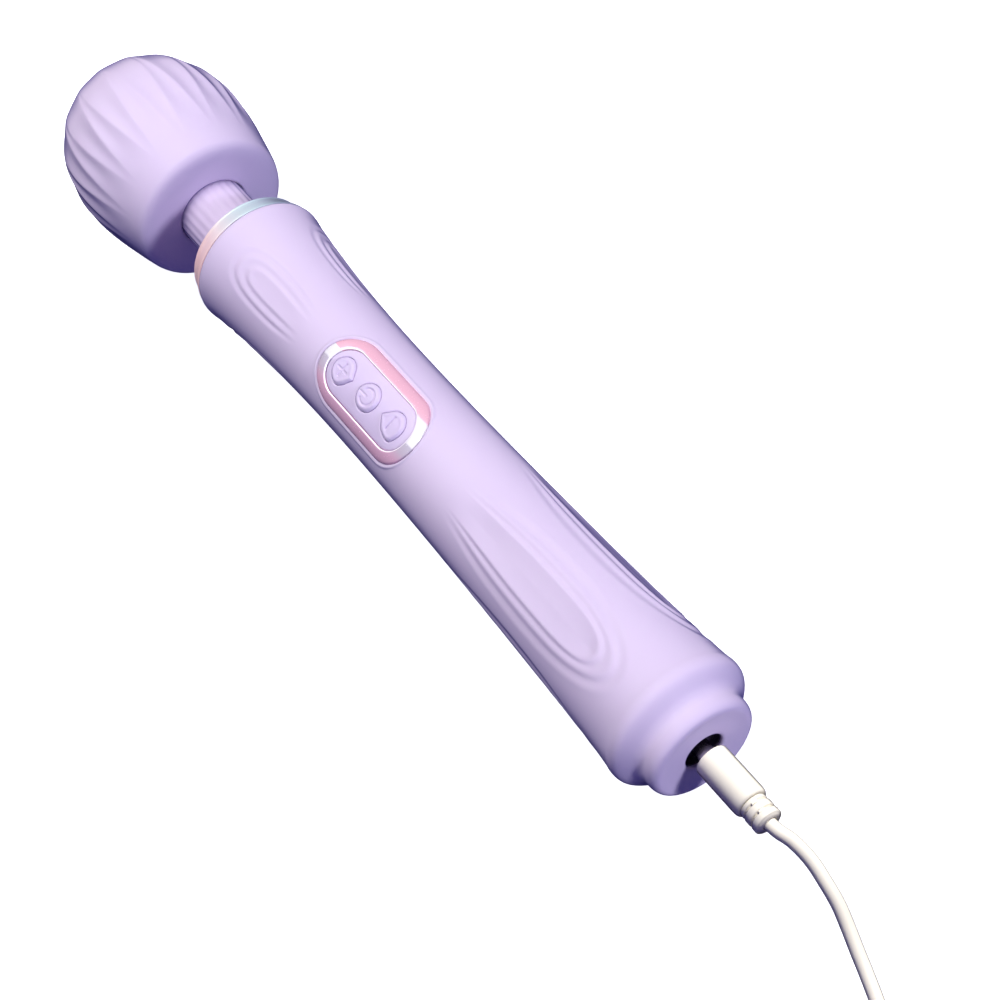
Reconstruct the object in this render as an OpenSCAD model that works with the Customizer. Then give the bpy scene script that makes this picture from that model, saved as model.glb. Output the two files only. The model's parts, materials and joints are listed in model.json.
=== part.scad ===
// Cordless handheld wand massager with its charging lead.
// +X runs along the wand from the tail to the head, +Z is the button side,
// and the origin is the centre of the tail end face.

/* [Handle] */
// Length of the handle from the tail end face to the top of the collar ring
handle_len = 238; // [230:1:246]
// Outer radius of the flat tail end
tail_r = 17.4; // [17:0.1:18.4]
// Outer radius of the tail shoulder
shoulder_r = 22.5; // [21.5:0.1:23.5]
// Outer radius at the waist under the button panel
waist_r = 17.95; // [17.6:0.05:18.6]
// Outer radius of the collar below the ring
collar_r = 22.4; // [21.8:0.1:23.2]
// Outer radius of the collar ring
ring_r = 20.3; // [19.8:0.1:20.8]
// Thickness of the soft grip
skin_t = 1.8; // [1.4:0.1:2]
// Wall thickness of the hard housing
shell_t = 2; // [1.6:0.1:2.2]

/* [Neck] */
// Outer radius of the flexible neck
neck_r = 12; // [11.5:0.1:12.5]
// Wall thickness of the neck sleeve
neck_wall = 2.4; // [1.8:0.1:2.6]
// Visible length of the neck
neck_len = 22; // [20:0.5:25]

/* [Head] */
// Length of the head from its base to its tip
head_len = 74; // [72:0.5:78]
// Largest radius of the head
head_r = 30.7; // [30:0.1:32]
// Radius of the head at its base rim
base_r = 25.6; // [25:0.1:27]
// Thickness of the soft head cover
cover_t = 2.2; // [1.8:0.1:2.4]

/* [Button panel] */
// Middle of the panel along the handle
panel_x = 148.8; // [147:0.1:150]
// Outer length of the bezel
panel_len = 48.2; // [47:0.1:49]
// Outer width of the bezel
panel_w = 22.6; // [22:0.1:23]
// Width of the bezel band
band_w = 3.6; // [3.4:0.1:3.8]
// Distance between neighbouring buttons
button_pitch = 13.5; // [13.2:0.1:13.8]
// Height of the buttons above the pad
button_rise = 0.85; // [0.7:0.05:1.2]

/* [Motor] */
// Outer radius of the motor can
motor_r = 13.9; // [13:0.1:14.2]
// Length of the motor can
motor_len = 30; // [26:1:31]
// Radius of the motor shaft
shaft_r = 1.15; // [1:0.05:1.3]
// Radius of the eccentric weight
weight_r = 13; // [11:0.5:14]

/* [Battery] */
// Radius of the cell
cell_r = 9.1; // [8.9:0.1:9.2]
// Length of the cell
cell_len = 65; // [64:0.5:65]

/* [Charging lead] */
// Radius of the plug body
plug_r = 5.3; // [5.1:0.1:6]
// Radius of the cable
cable_r = 2.05; // [1.8:0.05:2.1]
// Radius of the first turn of the coiled cable
coil_r = 31; // [30:0.5:32]
// Step between neighbouring turns of the coil
coil_step = 4.7; // [4.6:0.1:5]

/* [Hidden] */

eps = 0.05;        // air gap between neighbouring pieces
split_gap = 0.02;  // fine gap at the split plane z = 0 and under seated parts

lavender = [0.82, 0.75, 0.90];
deep_lavender = [0.72, 0.63, 0.84];
rose = [0.93, 0.70, 0.77];
pearl = [0.90, 0.84, 0.88];
cream = [0.96, 0.95, 0.92];
shell_grey = [0.88, 0.86, 0.90];
screw_steel = [0.75, 0.75, 0.78];
board_green = [0.10, 0.35, 0.22];
part_black = [0.12, 0.12, 0.13];
plastic_black = [0.15, 0.15, 0.16];
rubber_grey = [0.2, 0.2, 0.22];
lead_red = [0.8, 0.15, 0.12];

// --- stations along the wand ---
shoulder_x = 13;
waist_x = panel_x;
collar_x = handle_len - 7.5;
ring_x = collar_x + 0.9;        // where the grip ends and the ring begins
top_x = handle_len - 2.6;       // end of the housing under the ring
neck_x = handle_len + neck_len; // base plane of the head
wide_x = neck_x + 33;           // where the head is widest
tip_x = neck_x + head_len;

// --- handle outline, points are [x, radius] ---
function taper(u) = 0.85 * pow(1 - u, 1.6) + 0.15 * exp(-u / 0.05);
function handle_r(x) =
  x <= shoulder_x ? shoulder_r :
  x <= waist_x
    ? waist_r + (shoulder_r - waist_r) * taper((x - shoulder_x) / (waist_x - shoulder_x))
    : waist_r + (collar_r - waist_r)
      * pow(min(1, (x - waist_x) / (collar_x - waist_x)), 2.45);
// flat end, rounded lip, shallow cove, round shoulder
TAIL = [[0, tail_r - 1.5], [0.5, tail_r - 0.5], [2.2, tail_r], [4.6, tail_r - 0.2],
  [6.4, tail_r + 0.3], [8.4, tail_r + 1.6], [10.4, shoulder_r - 1.3], [11.7, shoulder_r - 0.35]];
body_x = concat([shoulder_x, 15, 18, 22, 27], [for (x = [34:9:142]) x],
  [for (x = [waist_x:9:202]) x], [207, 212, 217, 221, 225, 228, collar_x]);
HANDLE = concat(TAIL, [for (x = body_x) [x, handle_r(x)]],
  [[handle_len - 4.6, collar_r - 0.55], [top_x, ring_r + 0.25]]);

// --- head outline, points are [x, radius] ---
rim_x = neck_x + 1.5;
function head_r_at(x) =
  x <= wide_x
    ? base_r + (head_r - base_r) * sin(90 * max(0, x - rim_x) / (wide_x - rim_x))
    : head_r * pow(max(0, 1 - pow((x - wide_x) / (tip_x - wide_x), 2.3)), 0.625);
HEAD = concat([[neck_x, base_r - 2.6], [neck_x + 0.45, base_r - 1], [rim_x, base_r]],
  [for (k = [1:7]) let (x = rim_x + k * (wide_x - rim_x) / 7) [x, head_r_at(x)]],
  [for (a = [10:10:80]) let (x = wide_x + (tip_x - wide_x) * sin(a)) [x, head_r_at(x)]],
  [[tip_x - 0.08, 3], [tip_x, 0]]);

// --- shared shapes ---
// outline of [x, radius] points turned about the X axis
module lathe(outline)
  rotate([0, 90, 0]) rotate_extrude($fn = 96) polygon([for (p = outline) [p[1], p[0]]]);
module rod(from, to, radius, facets = 48)
  translate([from, 0, 0]) rotate([0, 90, 0]) cylinder(h = to - from, r = radius, $fn = facets);
module tube(from, to, outer, inner) difference() {
  rod(from, to, outer);
  rod(from - 1, to + 1, inner);
}
// box centred on y = 0, from its lowest x and z and its [length, width, height]
module box(x, z, size) translate([x, -size[1] / 2, z]) cube(size);
// straight wire along X
module wire(from, to, y, z, radius)
  translate([from, y, z]) rotate([0, 90, 0]) cylinder(h = to - from, r = radius, $fn = 24);
// upright cylinder
module post(z, height, radius)
  translate([0, 0, z]) cylinder(h = height, r = radius, $fn = 32);
// outline moved inwards by depth and cut to from..to
function inset(outline, depth, from, to) = concat(
  [[from, max(0, lookup(from, outline) - depth)]],
  [for (p = outline) if (p[0] > from + 0.01 && p[0] < to - 0.01) [p[0], max(0, p[1] - depth)]],
  [[to, max(0, lookup(to, outline) - depth)]]);
function reversed(list) = [for (i = [len(list) - 1:-1:0]) list[i]];
// faces of a tube skinned over rings of points, with both ends closed
function ring_faces(rings, sides) = concat(
  [[for (j = [0:sides - 1]) j]],
  [[for (j = [0:sides - 1]) (rings - 1) * sides + sides - 1 - j]],
  [for (i = [0:rings - 2]) for (j = [0:sides - 1])
    let (here = i * sides + j, beside = i * sides + (j + 1) % sides)
      [here, here + sides, beside + sides, beside]]);

// --- split shells and their screws ---
seat_depth = 6;   // depth of the screw seats below the split plane
// everything on the +Z side (side 1) or the -Z side (side -1) of the split
module half(side) box(-5, side > 0 ? split_gap : -60 - split_gap, [360, 120, 60]);
// both sides of y = 0 at each [x, y] of a boss table
module at_bosses(bosses)
  for (boss = bosses) for (side = [-1, 1]) translate([boss[0], side * boss[1], 0]) children();
module front_boss(height) post(split_gap, height, 2.9);
module rear_boss(height) post(-height - split_gap, height, 3.2);
module pilot_hole() post(-1, 7.2, 1.28);
// clearance hole, and a well for the screw head open towards -Z
module screw_well(depth) {
  post(-8, 9, 1.35);
  post(-seat_depth - depth, depth, 2.4);
}
// cross-slotted screw pointing to +Z, its head's bearing face at z = 0
module screw(shank_r, length, cap_r, cap_h) {
  cylinder(h = length, r = shank_r, $fn = 32);
  translate([0, 0, -cap_h]) difference() {
    cylinder(h = cap_h, r = cap_r, $fn = 32);
    for (a = [0, 90]) rotate([0, 0, a]) box(-cap_r * 0.6, -1, [cap_r * 1.2, 0.6, 1.8]);
  }
}
module shell_screw() translate([0, 0, -seat_depth - split_gap]) screw(1.25, 12, 2.2, 1.8);

// --- button panel and board sizes ---
seat_z = 13.2;                    // bottom of the bezel
bezel_top = waist_r + 0.6;        // crown radius of the bezel
pad_top = waist_r + 0.1;          // crown radius of the pad
pad_w = panel_w - 2 * band_w;
pad_len = panel_len - 2 * band_w;
board_x = 117;
board_len = 66;
board_z = 9.2;
board_t = 1.6;
board_top = board_z + board_t;
board_under = board_z - split_gap;  // level of what sits below the board
board_over = board_top + split_gap; // level of what sits on the board
board_screw_x = [board_x + 2.5, board_x + board_len - 2.5];
module at_board_screws() for (x = board_screw_x) translate([x, 0, 0]) children();
module stadium(length, width) {
  square([length - width, width], center = true);
  for (s = [-1, 1]) translate([s * (length - width) / 2, 0]) circle(d = width, $fn = 64);
}
// long round-ended block at the panel, from z0 to z1
module slot(length, width, z0, z1)
  translate([panel_x, 0, z0]) linear_extrude(z1 - z0) stadium(length, width);
module panel_opening(z0) slot(panel_len + 0.2, panel_w + 0.2, z0, 30);

// --- handle ---
HANDLE_BOSSES = [[25, 10.5], [116.5, 10], [206, 9.5]];   // [x, y]
handle_boss_h = 20;
shell_out = skin_t + eps;         // depth of the housing's outer face
shell_in = shell_out + shell_t;   // depth of the housing's inner face
jack_hole_r = 6.5;
tail_in_x = 4.1;                  // inner face of the housing's tail wall
collar_in_x = handle_len - 8;     // inner face of the housing's collar wall
flange_x = handle_len - 4.2;      // floor of the recess for the neck flange
flange_r = 15.2;                  // neck sleeve flanges
flange_room_r = flange_r + 0.1;
retainer_r = 16.6;

module handle_grip() color(lavender) difference() {
  lathe(concat([for (p = HANDLE) if (p[0] < ring_x - 0.01) p],
    [[ring_x, lookup(ring_x, HANDLE)], [ring_x, lookup(ring_x, HANDLE) - skin_t]],
    reversed(inset(HANDLE, skin_t, skin_t, ring_x - 0.3)),
    [[skin_t, jack_hole_r], [0, jack_hole_r]]));
  panel_opening(8);
}
module housing_solid() lathe(concat([[shell_out, jack_hole_r]],
  inset(HANDLE, shell_out, shell_out, top_x),
  [[top_x, flange_room_r], [flange_x, flange_room_r], [flange_x, 5.4], [collar_in_x, 5.4]],
  reversed(inset(HANDLE, shell_in, tail_in_x, collar_in_x)), [[tail_in_x, jack_hole_r]]));
// space that the bosses are trimmed to, reaching slightly into the wall
room_x0 = tail_in_x - 0.05;
room_x1 = collar_in_x + 0.1;
module housing_room() lathe(concat([[room_x0, 0]],
  inset(HANDLE, shell_in - 0.3, room_x0, room_x1), [[room_x1, 0]]));
module front_housing() color(shell_grey) difference() {
  union() {
    intersection() {
      housing_solid();
      half(1);
    }
    intersection() {
      union() {
        at_bosses(HANDLE_BOSSES) front_boss(handle_boss_h);
        at_board_screws() post(board_top + eps, 10, 2.3);
      }
      housing_room();
    }
  }
  panel_opening(seat_z - eps);
  at_bosses(HANDLE_BOSSES) pilot_hole();
  at_board_screws() post(10, 3.6, 0.98);
}
module rear_housing() color(shell_grey) difference() {
  union() {
    intersection() {
      housing_solid();
      half(-1);
    }
    intersection() {
      at_bosses(HANDLE_BOSSES) rear_boss(handle_boss_h);
      housing_room();
    }
  }
  at_bosses(HANDLE_BOSSES) screw_well(22);
}
module housing_screws() color(screw_steel) at_bosses(HANDLE_BOSSES) shell_screw();
module collar_ring() color(pearl)
  lathe(concat([[ring_x + eps, lookup(ring_x + eps, HANDLE)]],
    [for (p = HANDLE) if (p[0] > ring_x + 0.06) p],
    [[handle_len - 1.2, ring_r + 0.1], [handle_len - 0.4, ring_r - 0.2],
     [handle_len, ring_r - 0.9], [handle_len, retainer_r + 0.1],
     [top_x + eps, retainer_r + 0.1]],
    reversed(inset(HANDLE, skin_t, ring_x + eps, top_x + eps))));
module neck_retainer() color(deep_lavender)
  lathe([[top_x + eps, neck_r + 0.15], [top_x + eps, retainer_r],
    [handle_len - 0.2, retainer_r], [handle_len - 0.2, neck_r + 0.15]]);

// --- button panel ---
plunger_z = 12;
plunger_h = 1.9;
plunger_r = 1.7;
// k is -1 for minus, 0 for power and 1 for plus
function button_x(k) = panel_x + 0.6 + k * button_pitch;
// round bar about the wand axis that curves the top of the panel pieces
module crown(radius) rod(110, 190, radius, 128);
module panel_bezel() color(rose) intersection() {
  difference() {
    slot(panel_len, panel_w, seat_z, 25);
    slot(pad_len, pad_w, 5, 30);
  }
  crown(bezel_top);
}
// a rounded drop with its point towards +X
module drop(radius, tip) {
  circle(r = radius, $fn = 48);
  a = acos(radius / tip);
  touch = [radius * cos(a), radius * sin(a)];   // where the straight side leaves the circle
  polygon([[0, 0], touch, [tip - 0.35, 0.28], [tip - 0.35, -0.28], [touch[0], -touch[1]]]);
}
// a round power button between two drops that point at it
module button_shape(k, grow = 0) translate([button_x(k), 0])
  if (k == 0) circle(r = 4.7 + grow, $fn = 64);
  else mirror([k > 0 ? 1 : 0, 0]) drop(4.3 + grow, 5.9 + grow);
module button_hole(k) translate([0, 0, seat_z]) linear_extrude(8) button_shape(k, 0.15);
module button_pad() color(lavender) difference() {
  intersection() {
    slot(pad_len - 0.16, pad_w - 0.16, seat_z + 1, 25);
    crown(pad_top);
  }
  for (k = [-1:1]) button_hole(k);
}
module button(k) color(lavender) {
  intersection() {
    translate([0, 0, seat_z + 1.7]) linear_extrude(20) button_shape(k);
    crown(pad_top + button_rise);
  }
  translate([button_x(k), 0, 0]) post(plunger_z + plunger_h + eps, 1.2, 2);
}
module button_plus() button(1);
module button_power() button(0);
module button_minus() button(-1);
module plunger(k) color(plastic_black)
  translate([button_x(k), 0, 0]) post(plunger_z, plunger_h, plunger_r);
module switch_plunger_plus() plunger(1);
module switch_plunger_power() plunger(0);
module switch_plunger_minus() plunger(-1);
module switch_bodies() color(rubber_grey) for (k = [-1:1])
  translate([button_x(k), 0, 0]) difference() {
    box(-3, board_over, [6, 6, 2.2]);
    post(11.3, 4, plunger_r + 0.06);
  }
module control_board() color(board_green) difference() {
  box(board_x, board_z, [board_len, 12.8, board_t]);
  at_board_screws() post(8, 4, 1.15);
}
module board_screws() color(screw_steel)
  at_board_screws() translate([0, 0, board_under]) screw(0.95, 4.2, 1.9, 1.3);
// chips under the board: [x, [length, width, height]]
CHIPS = [[146, [8, 6, 1.28]], [160, [5, 5, 1.08]], [130, [4, 3.2, 0.98]]];
module board_chips() color(part_black)
  for (chip = CHIPS) box(chip[0], board_under - chip[1][2], chip[1]);
module status_led() color([0.95, 0.95, 1])
  translate([button_x(0.5), 0, board_over]) {
    box(-0.8, 0, [1.6, 1.2, 0.5]);
    translate([0, 0, 0.4]) cylinder(h = 0.5, r = 0.45, $fn = 24);
  }

// --- battery ---
cell_x = 48;
cell_end = cell_x + cell_len;
tab_t = 0.2;
foam_near = cell_r + 0.4;   // distances of the foam faces from the axis
foam_far = 14.3;
module battery_cell() color([0.75, 0.76, 0.78]) {
  rod(cell_x, cell_end - 1.6, cell_r);
  rod(cell_end - 1.7, cell_end, 2.8);
}
module battery_wrap() color([0.45, 0.55, 0.85])
  tube(cell_x + 0.5, cell_end - 1.8, cell_r + 0.2, cell_r + 0.02);
module battery_tabs() color([0.8, 0.8, 0.8])
  for (x = [cell_x - eps - tab_t, cell_end + eps]) box(x, -4, [tab_t, 6, 12.8]);
module battery_foam() color([0.3, 0.3, 0.32])
  for (z = [-foam_far, foam_near]) box(cell_x + 20, z, [26, 8, foam_far - foam_near]);
module battery_leads() color(lead_red) {
  wire(cell_end + 0.35, cell_end + 13.35, 2, 7, 0.6);
  wire(33, cell_x - 0.35, -2, 1.1, 0.6);
}

// --- charging board and jack ---
charge_x = 30;
charge_z = -1.2;
jack_end = 17;
module charge_board() color(board_green) {
  box(charge_x, charge_z, [14, 14, board_t]);
  translate([34, -5.5, charge_z + board_t]) cube([6, 2.6, 1]);
}
module charging_jack() color(part_black) difference() {
  union() {
    rod(tail_in_x + eps, 5.7, 8);
    rod(5.6, jack_end, 5.8);
  }
  rod(3, 14, 2.86);
}
module jack_pin() color([0.85, 0.80, 0.55]) rod(6, 14, 1);
module jack_leads() color([0.1, 0.1, 0.1])
  for (s = [-1, 1]) wire(jack_end + eps, charge_x - eps, 2.5 * s, -0.4, 0.5);

// --- flexible neck ---
motor_x = neck_x + 7.4;             // tail-side face of the motor
sleeve_end = neck_x + 3.6;
cover_in_x = neck_x + 2;            // inner face of the head cover's base
module neck_sleeve() color(lavender) {
  bore_r = neck_r - neck_wall;
  lathe([[flange_x + 0.1, bore_r], [flange_x + 0.1, flange_r], [top_x, flange_r],
    [top_x, neck_r], [cover_in_x + 0.2, neck_r], [cover_in_x + 0.2, flange_r],
    [sleeve_end, flange_r], [sleeve_end, bore_r]]);
}
// wire wound into a helix about the X axis
module helix(from, to, coil_radius, wire_r, turns, steps = 18, sides = 8) {
  count = turns * steps;
  points = [for (i = [0:count])
    let (a = 360 * i / steps, x = from + (to - from) * i / count)
    for (j = [0:sides - 1])
      let (b = 360 * j / sides, reach = coil_radius + wire_r * cos(b))
        [x + wire_r * sin(b), reach * cos(a), reach * sin(a)]];
  polyhedron(points, ring_faces(count + 1, sides), convexity = 10);
}
module neck_spring() color([0.7, 0.7, 0.72])
  helix(handle_len - 3.4, neck_x + 3, coil_radius = 8, wire_r = 0.65, turns = 9);
module motor_leads() color(lead_red)
  for (s = [-1, 1]) wire(board_x + board_len + 1, motor_x - 0.1, 2.2 * s, 0, 0.7);

// --- head ---
HEAD_BOSSES = [[neck_x + 18, 20.5], [neck_x + 42.5, 19.5]];   // [x, y]
head_boss_h = 25;
head_shell_x = cover_in_x + eps;
head_out = cover_t + eps;           // depth of the head shell's outer face
head_in = head_out + 2.1;           // depth of the head shell's inner face
head_in_x = neck_x + 5.8;           // inner face of the head shell's base
rib_x = [neck_x + 10.2, neck_x + 31];   // ribs that carry the motor cushions
rib_t = 2.4;
cushion_r = 16.05;
module head_cover() color(lavender)
  lathe(concat([[neck_x, neck_r + 0.12]], HEAD, [[tip_x - cover_t, 0]],
    reversed(inset(HEAD, cover_t, cover_in_x, tip_x - cover_t - 0.8)),
    [[cover_in_x, neck_r + 0.12]]));
module head_shell_solid() {
  lathe(concat([[head_shell_x, flange_room_r]],
    inset(HEAD, head_out, head_shell_x, tip_x - head_out - 1.1),
    [[tip_x - head_out - 0.3, 0], [tip_x - head_in - 0.5, 0]],
    reversed(inset(HEAD, head_in, head_in_x, tip_x - head_in - 1.4)),
    [[head_in_x, 5.6], [sleeve_end + 0.1, 5.6], [sleeve_end + 0.1, flange_room_r]]));
  for (x = rib_x) difference() {
    rod(x, x + rib_t, lookup(x, HEAD) - head_in + 0.3);
    rod(x - 1, x + 5, cushion_r + eps);
  }
}
// space that the bosses are trimmed to, reaching slightly into the wall
module head_room() lathe(concat([[head_in_x - 0.1, 0]],
  inset(HEAD, head_in - 0.3, head_in_x - 0.1, tip_x - 12), [[tip_x - 12, 0]]));
module head_shell_front() color(shell_grey) difference() {
  union() {
    intersection() {
      head_shell_solid();
      half(1);
    }
    intersection() {
      at_bosses(HEAD_BOSSES) front_boss(head_boss_h);
      head_room();
    }
  }
  at_bosses(HEAD_BOSSES) pilot_hole();
}
module head_shell_rear() color(shell_grey) difference() {
  union() {
    intersection() {
      head_shell_solid();
      half(-1);
    }
    intersection() {
      at_bosses(HEAD_BOSSES) rear_boss(head_boss_h);
      head_room();
    }
  }
  at_bosses(HEAD_BOSSES) screw_well(34);
}
module head_screws() color(screw_steel) at_bosses(HEAD_BOSSES) shell_screw();

// --- motor, shaft and weight ---
motor_end = motor_x + motor_len;    // head-side face of the motor
can_wall = 1.2;
can_fit_r = motor_r - can_wall - eps;   // outer radius of what fits in the can
bush_r = 3;
module shaft_hole(from, to) rod(from, to, shaft_r + 0.01, 64);
module motor_can() color([0.62, 0.62, 0.65]) difference() {
  rod(motor_x, motor_end, motor_r);
  rod(motor_x - 1, motor_end - can_wall, motor_r - can_wall);
  rod(motor_end - 2, motor_end + 1, bush_r + eps);
}
module motor_end_cap() color(plastic_black) difference() {
  rod(motor_x, motor_x + 2.5, can_fit_r);
  rod(motor_x - 1, motor_x + 4, bush_r + eps);
}
module motor_bushes() color([0.75, 0.6, 0.3]) {
  tube(motor_x + 0.1, motor_x + 2.4, bush_r, shaft_r + 0.04);
  tube(motor_end - 1.15, motor_end + 1, bush_r, shaft_r + 0.04);
}
module motor_magnets() color([0.3, 0.3, 0.33]) difference() {
  tube(motor_x + 7, motor_end - 5, can_fit_r, motor_r - 2.7);
  box(motor_x, -3, [motor_len, 60, 6]);
}
module motor_cushions() color(rubber_grey)
  for (x = rib_x) tube(x - 0.3, x + rib_t + 0.3, cushion_r, motor_r + 0.03);
module motor_shaft() color([0.85, 0.85, 0.87]) rod(motor_x - 0.6, motor_end + 17, shaft_r, 64);
module motor_armature() color([0.72, 0.42, 0.2]) difference() {
  rod(motor_x + 8, motor_end - 6, motor_r - 3.1);
  shaft_hole(motor_x, motor_end);
  for (a = [0:120:240]) rotate([a, 0, 0]) box(motor_x + 7, 6, [motor_len, 1.6, 10]);
}
module motor_commutator() color([0.8, 0.55, 0.3]) difference() {
  rod(motor_x + 3.2, motor_x + 7.6, 3.4);
  shaft_hole(motor_x, motor_end);
}
// hub with a heavy lobe on the -Z side
module eccentric_weight() color([0.6, 0.58, 0.5]) difference() {
  union() {
    rod(motor_end + 3, motor_end + 15, 4.2);
    difference() {
      rod(motor_end + 4, motor_end + 14.5, weight_r);
      box(motor_end, 0.8, [40, 60, 30]);
    }
  }
  shaft_hole(motor_end, motor_end + 20);
}

// --- charging plug ---
plug_back = -20;
plug_front = -2.5;
barrel_x = -4.4;
cable_hole_r = cable_r + 0.1;
module plug_body() color(cream) difference() {
  lathe([[plug_front, 0], [plug_front, plug_r - 0.5], [plug_front - 0.5, plug_r],
    [plug_back + 1.4, plug_r], [plug_back + 0.4, plug_r - 0.5],
    [plug_back, plug_r - 1.2], [plug_back, 0]]);
  rod(barrel_x - 0.1, 0, 2.8);
  rod(plug_back - 1, -11.5, cable_hole_r);
}
module plug_barrel() color([0.85, 0.85, 0.86]) tube(barrel_x, 9.5, 2.75, 1.9);
module plug_insulator() color([0.1, 0.1, 0.1]) tube(barrel_x, 9.3, 1.87, 1.1);
// sleeve and ribs that grip the cable behind the plug: [from x, to x, radius]
RELIEF = [[-27.2, plug_back - eps, 3.6], [-21.4, plug_back - eps, 4.6],
  [-24.2, -22, 4.25], [-27, -24.8, 4.25], [-27.4, -26.9, 3.5]];
module strain_relief() color(cream) difference() {
  for (part = RELIEF) rod(part[0], part[1], part[2]);
  rod(-30, -19, cable_hole_r);
}

// --- charging cable ---
// the ground touches the wand at its shoulder and at the widest part of the head
ground_slope = (head_r - shoulder_r) / (wide_x - shoulder_x);
function ground_z(x) = -shoulder_r - (x - shoulder_x) * ground_slope;
// height of the centre of a cable lying on the ground
function cable_z(x) = ground_z(x) + cable_r + 0.3;
coil_centre = [-92.8, 55.1];
coil_in = 246.7;     // angle at which the cable joins the coil
coil_out = -270;     // angle at which it leaves
lift = 4.5;          // rise at the end of the coil, to cross over the cable
lift_arc = 45;       // angle over which it rises
usb_x = -58;         // cable-side end of the far plug's main block
usb_z = ground_z(usb_x) + 4.4;
function coil_point(a) =
  let (radius = coil_r - coil_step * (coil_in - a) / 360,
       x = coil_centre[0] + radius * cos(a),
       rise = a < coil_out + lift_arc ? lift * (1 - (a - coil_out) / lift_arc) : 0)
    [x, coil_centre[1] + radius * sin(a), cable_z(x) + rise];
coil_end = coil_point(coil_out);
usb_y = coil_end[1];
// [x, y, z] from the plug down to the ground and up to the coil
DESCENT = [[-5, 0, 0], [-12, 0, 0], [-18, 0, 0], [-24, 0, 0], [-27.6, 0, 0],
  [-30.6, -0.3, -0.4], [-34.5, -1, -2.2], [-40.5, -0.6, -5.1], [-46.7, 1.1, -8],
  [-52, 3, -10.7], [-57.2, 5.6, -13.1], [-63, 8.5, -15.1], [-68.1, 10.8, -16.4],
  [-76, 14.2, cable_z(-76) + 0.3], [-86, 18.6, cable_z(-86)], [-96, 22.9, cable_z(-96)]];
CABLE = concat(DESCENT,
  [for (k = [0:18]) coil_point(coil_in + (coil_out - coil_in) * k / 18)],
  [[-84, usb_y, coil_end[2]], [-77, usb_y, coil_end[2]],
   [-72, usb_y, (coil_end[2] + usb_z) / 2]],
  [for (x = [-9.5, -6.5, -2, 2, 6, 10]) [usb_x + x, usb_y, usb_z]]);
// Catmull-Rom curve from start to end, t from 0 to 1
function smooth(before, start, end, after, t) = 0.5 * ((2 * start) + (end - before) * t
  + (2 * before - 5 * start + 4 * end - after) * t * t
  + (3 * start - before - 3 * end + after) * t * t * t);
substeps = 4;
PATH = [for (i = [1:len(CABLE) - 3]) for (k = [0:substeps - 1])
  smooth(CABLE[i - 1], CABLE[i], CABLE[i + 1], CABLE[i + 2], k / substeps)];
function unit(v) = v / norm(v);
// round bar swept along a path
module sweep(path, radius, sides = 14) {
  count = len(path);
  points = [for (i = [0:count - 1])
    let (along = unit(path[min(count - 1, i + 1)] - path[max(0, i - 1)]),
         across = unit(cross([0, 0, 1], along)),
         normal = cross(along, across))
    for (j = [0:sides - 1])
      path[i] + radius * (cos(360 * j / sides) * across + sin(360 * j / sides) * normal)];
  polyhedron(points, ring_faces(count, sides), convexity = 20);
}
module charging_cable() color(cream) sweep(PATH, cable_r);

// --- USB plug, opening towards +X ---
usb_w = 12;
usb_h = 4.5;
usb_wall = 0.3;
module at_usb() translate([usb_x, usb_y, usb_z]) children();
// bar along X with rounded long edges
module bar(length, width, height, edge_r) rotate([90, 0, 90]) linear_extrude(length) {
  square([width - 2 * edge_r, height], center = true);
  square([width, height - 2 * edge_r], center = true);
  for (a = [-1, 1]) for (b = [-1, 1])
    translate([a * (width / 2 - edge_r), b * (height / 2 - edge_r)])
      circle(r = edge_r, $fn = 24);
}
module usb_overmold() color(cream) at_usb() difference() {
  union() {
    bar(22, 15.6, 8, 2.2);
    translate([-5, 0, 0]) bar(5.2, 8, 6.4, 2.4);
  }
  rod(-6, 7, cable_hole_r);
  box(14, -usb_h / 2 - eps, [10, usb_w + 2 * eps, usb_h + 2 * eps]);
}
module usb_shell() color([0.8, 0.8, 0.82]) at_usb() difference() {
  box(15, -usb_h / 2, [18.8, usb_w, usb_h]);
  box(16, usb_wall - usb_h / 2, [20, usb_w - 2 * usb_wall, usb_h - 2 * usb_wall]);
  for (s = [-1, 1]) translate([0, s * 3, 0]) box(27, 1, [2, 2, 3]);
}
module usb_tongue() color([0.95, 0.95, 0.95]) at_usb() box(16 + eps, 0, [17, 11.2, 1.8]);
module usb_contacts() color([0.85, 0.7, 0.35]) at_usb()
  for (k = [-1.5:1:1.5]) translate([0, k * 2.3, 0]) box(20, -0.22, [12, 1, 0.2]);

handle_grip();
front_housing();
rear_housing();
housing_screws();
collar_ring();
neck_retainer();
panel_bezel();
button_pad();
control_board();
board_screws();
switch_bodies();
board_chips();
status_led();
battery_cell();
battery_wrap();
battery_tabs();
battery_foam();
battery_leads();
charge_board();
charging_jack();
jack_pin();
jack_leads();
neck_sleeve();
neck_spring();
motor_leads();
head_cover();
head_shell_front();
head_shell_rear();
head_screws();
motor_can();
motor_end_cap();
motor_magnets();
motor_bushes();
motor_cushions();
motor_shaft();
motor_armature();
motor_commutator();
eccentric_weight();
button_plus();
button_power();
button_minus();
switch_plunger_plus();
switch_plunger_power();
switch_plunger_minus();
plug_body();
plug_barrel();
plug_insulator();
strain_relief();
charging_cable();
usb_overmold();
usb_shell();
usb_tongue();
usb_contacts();
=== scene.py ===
# Looks of a handheld wand massager: soft grip, head cover, neck, plated trims, button panel and
# charging lead, built around the CAD frame. The wand lies along X with its tail near x = 0 and the
# tip of its head at x = 334 mm. The button panel faces +Z and the charging lead leaves towards -X.
# Shapes are in mm, objects, lights and camera in metres. Angles about X run from +Z towards +Y.
import json
import math

import bmesh
import bpy
import numpy as np
from mathutils import Matrix, Vector
from mathutils.geometry import delaunay_2d_cdt


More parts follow.
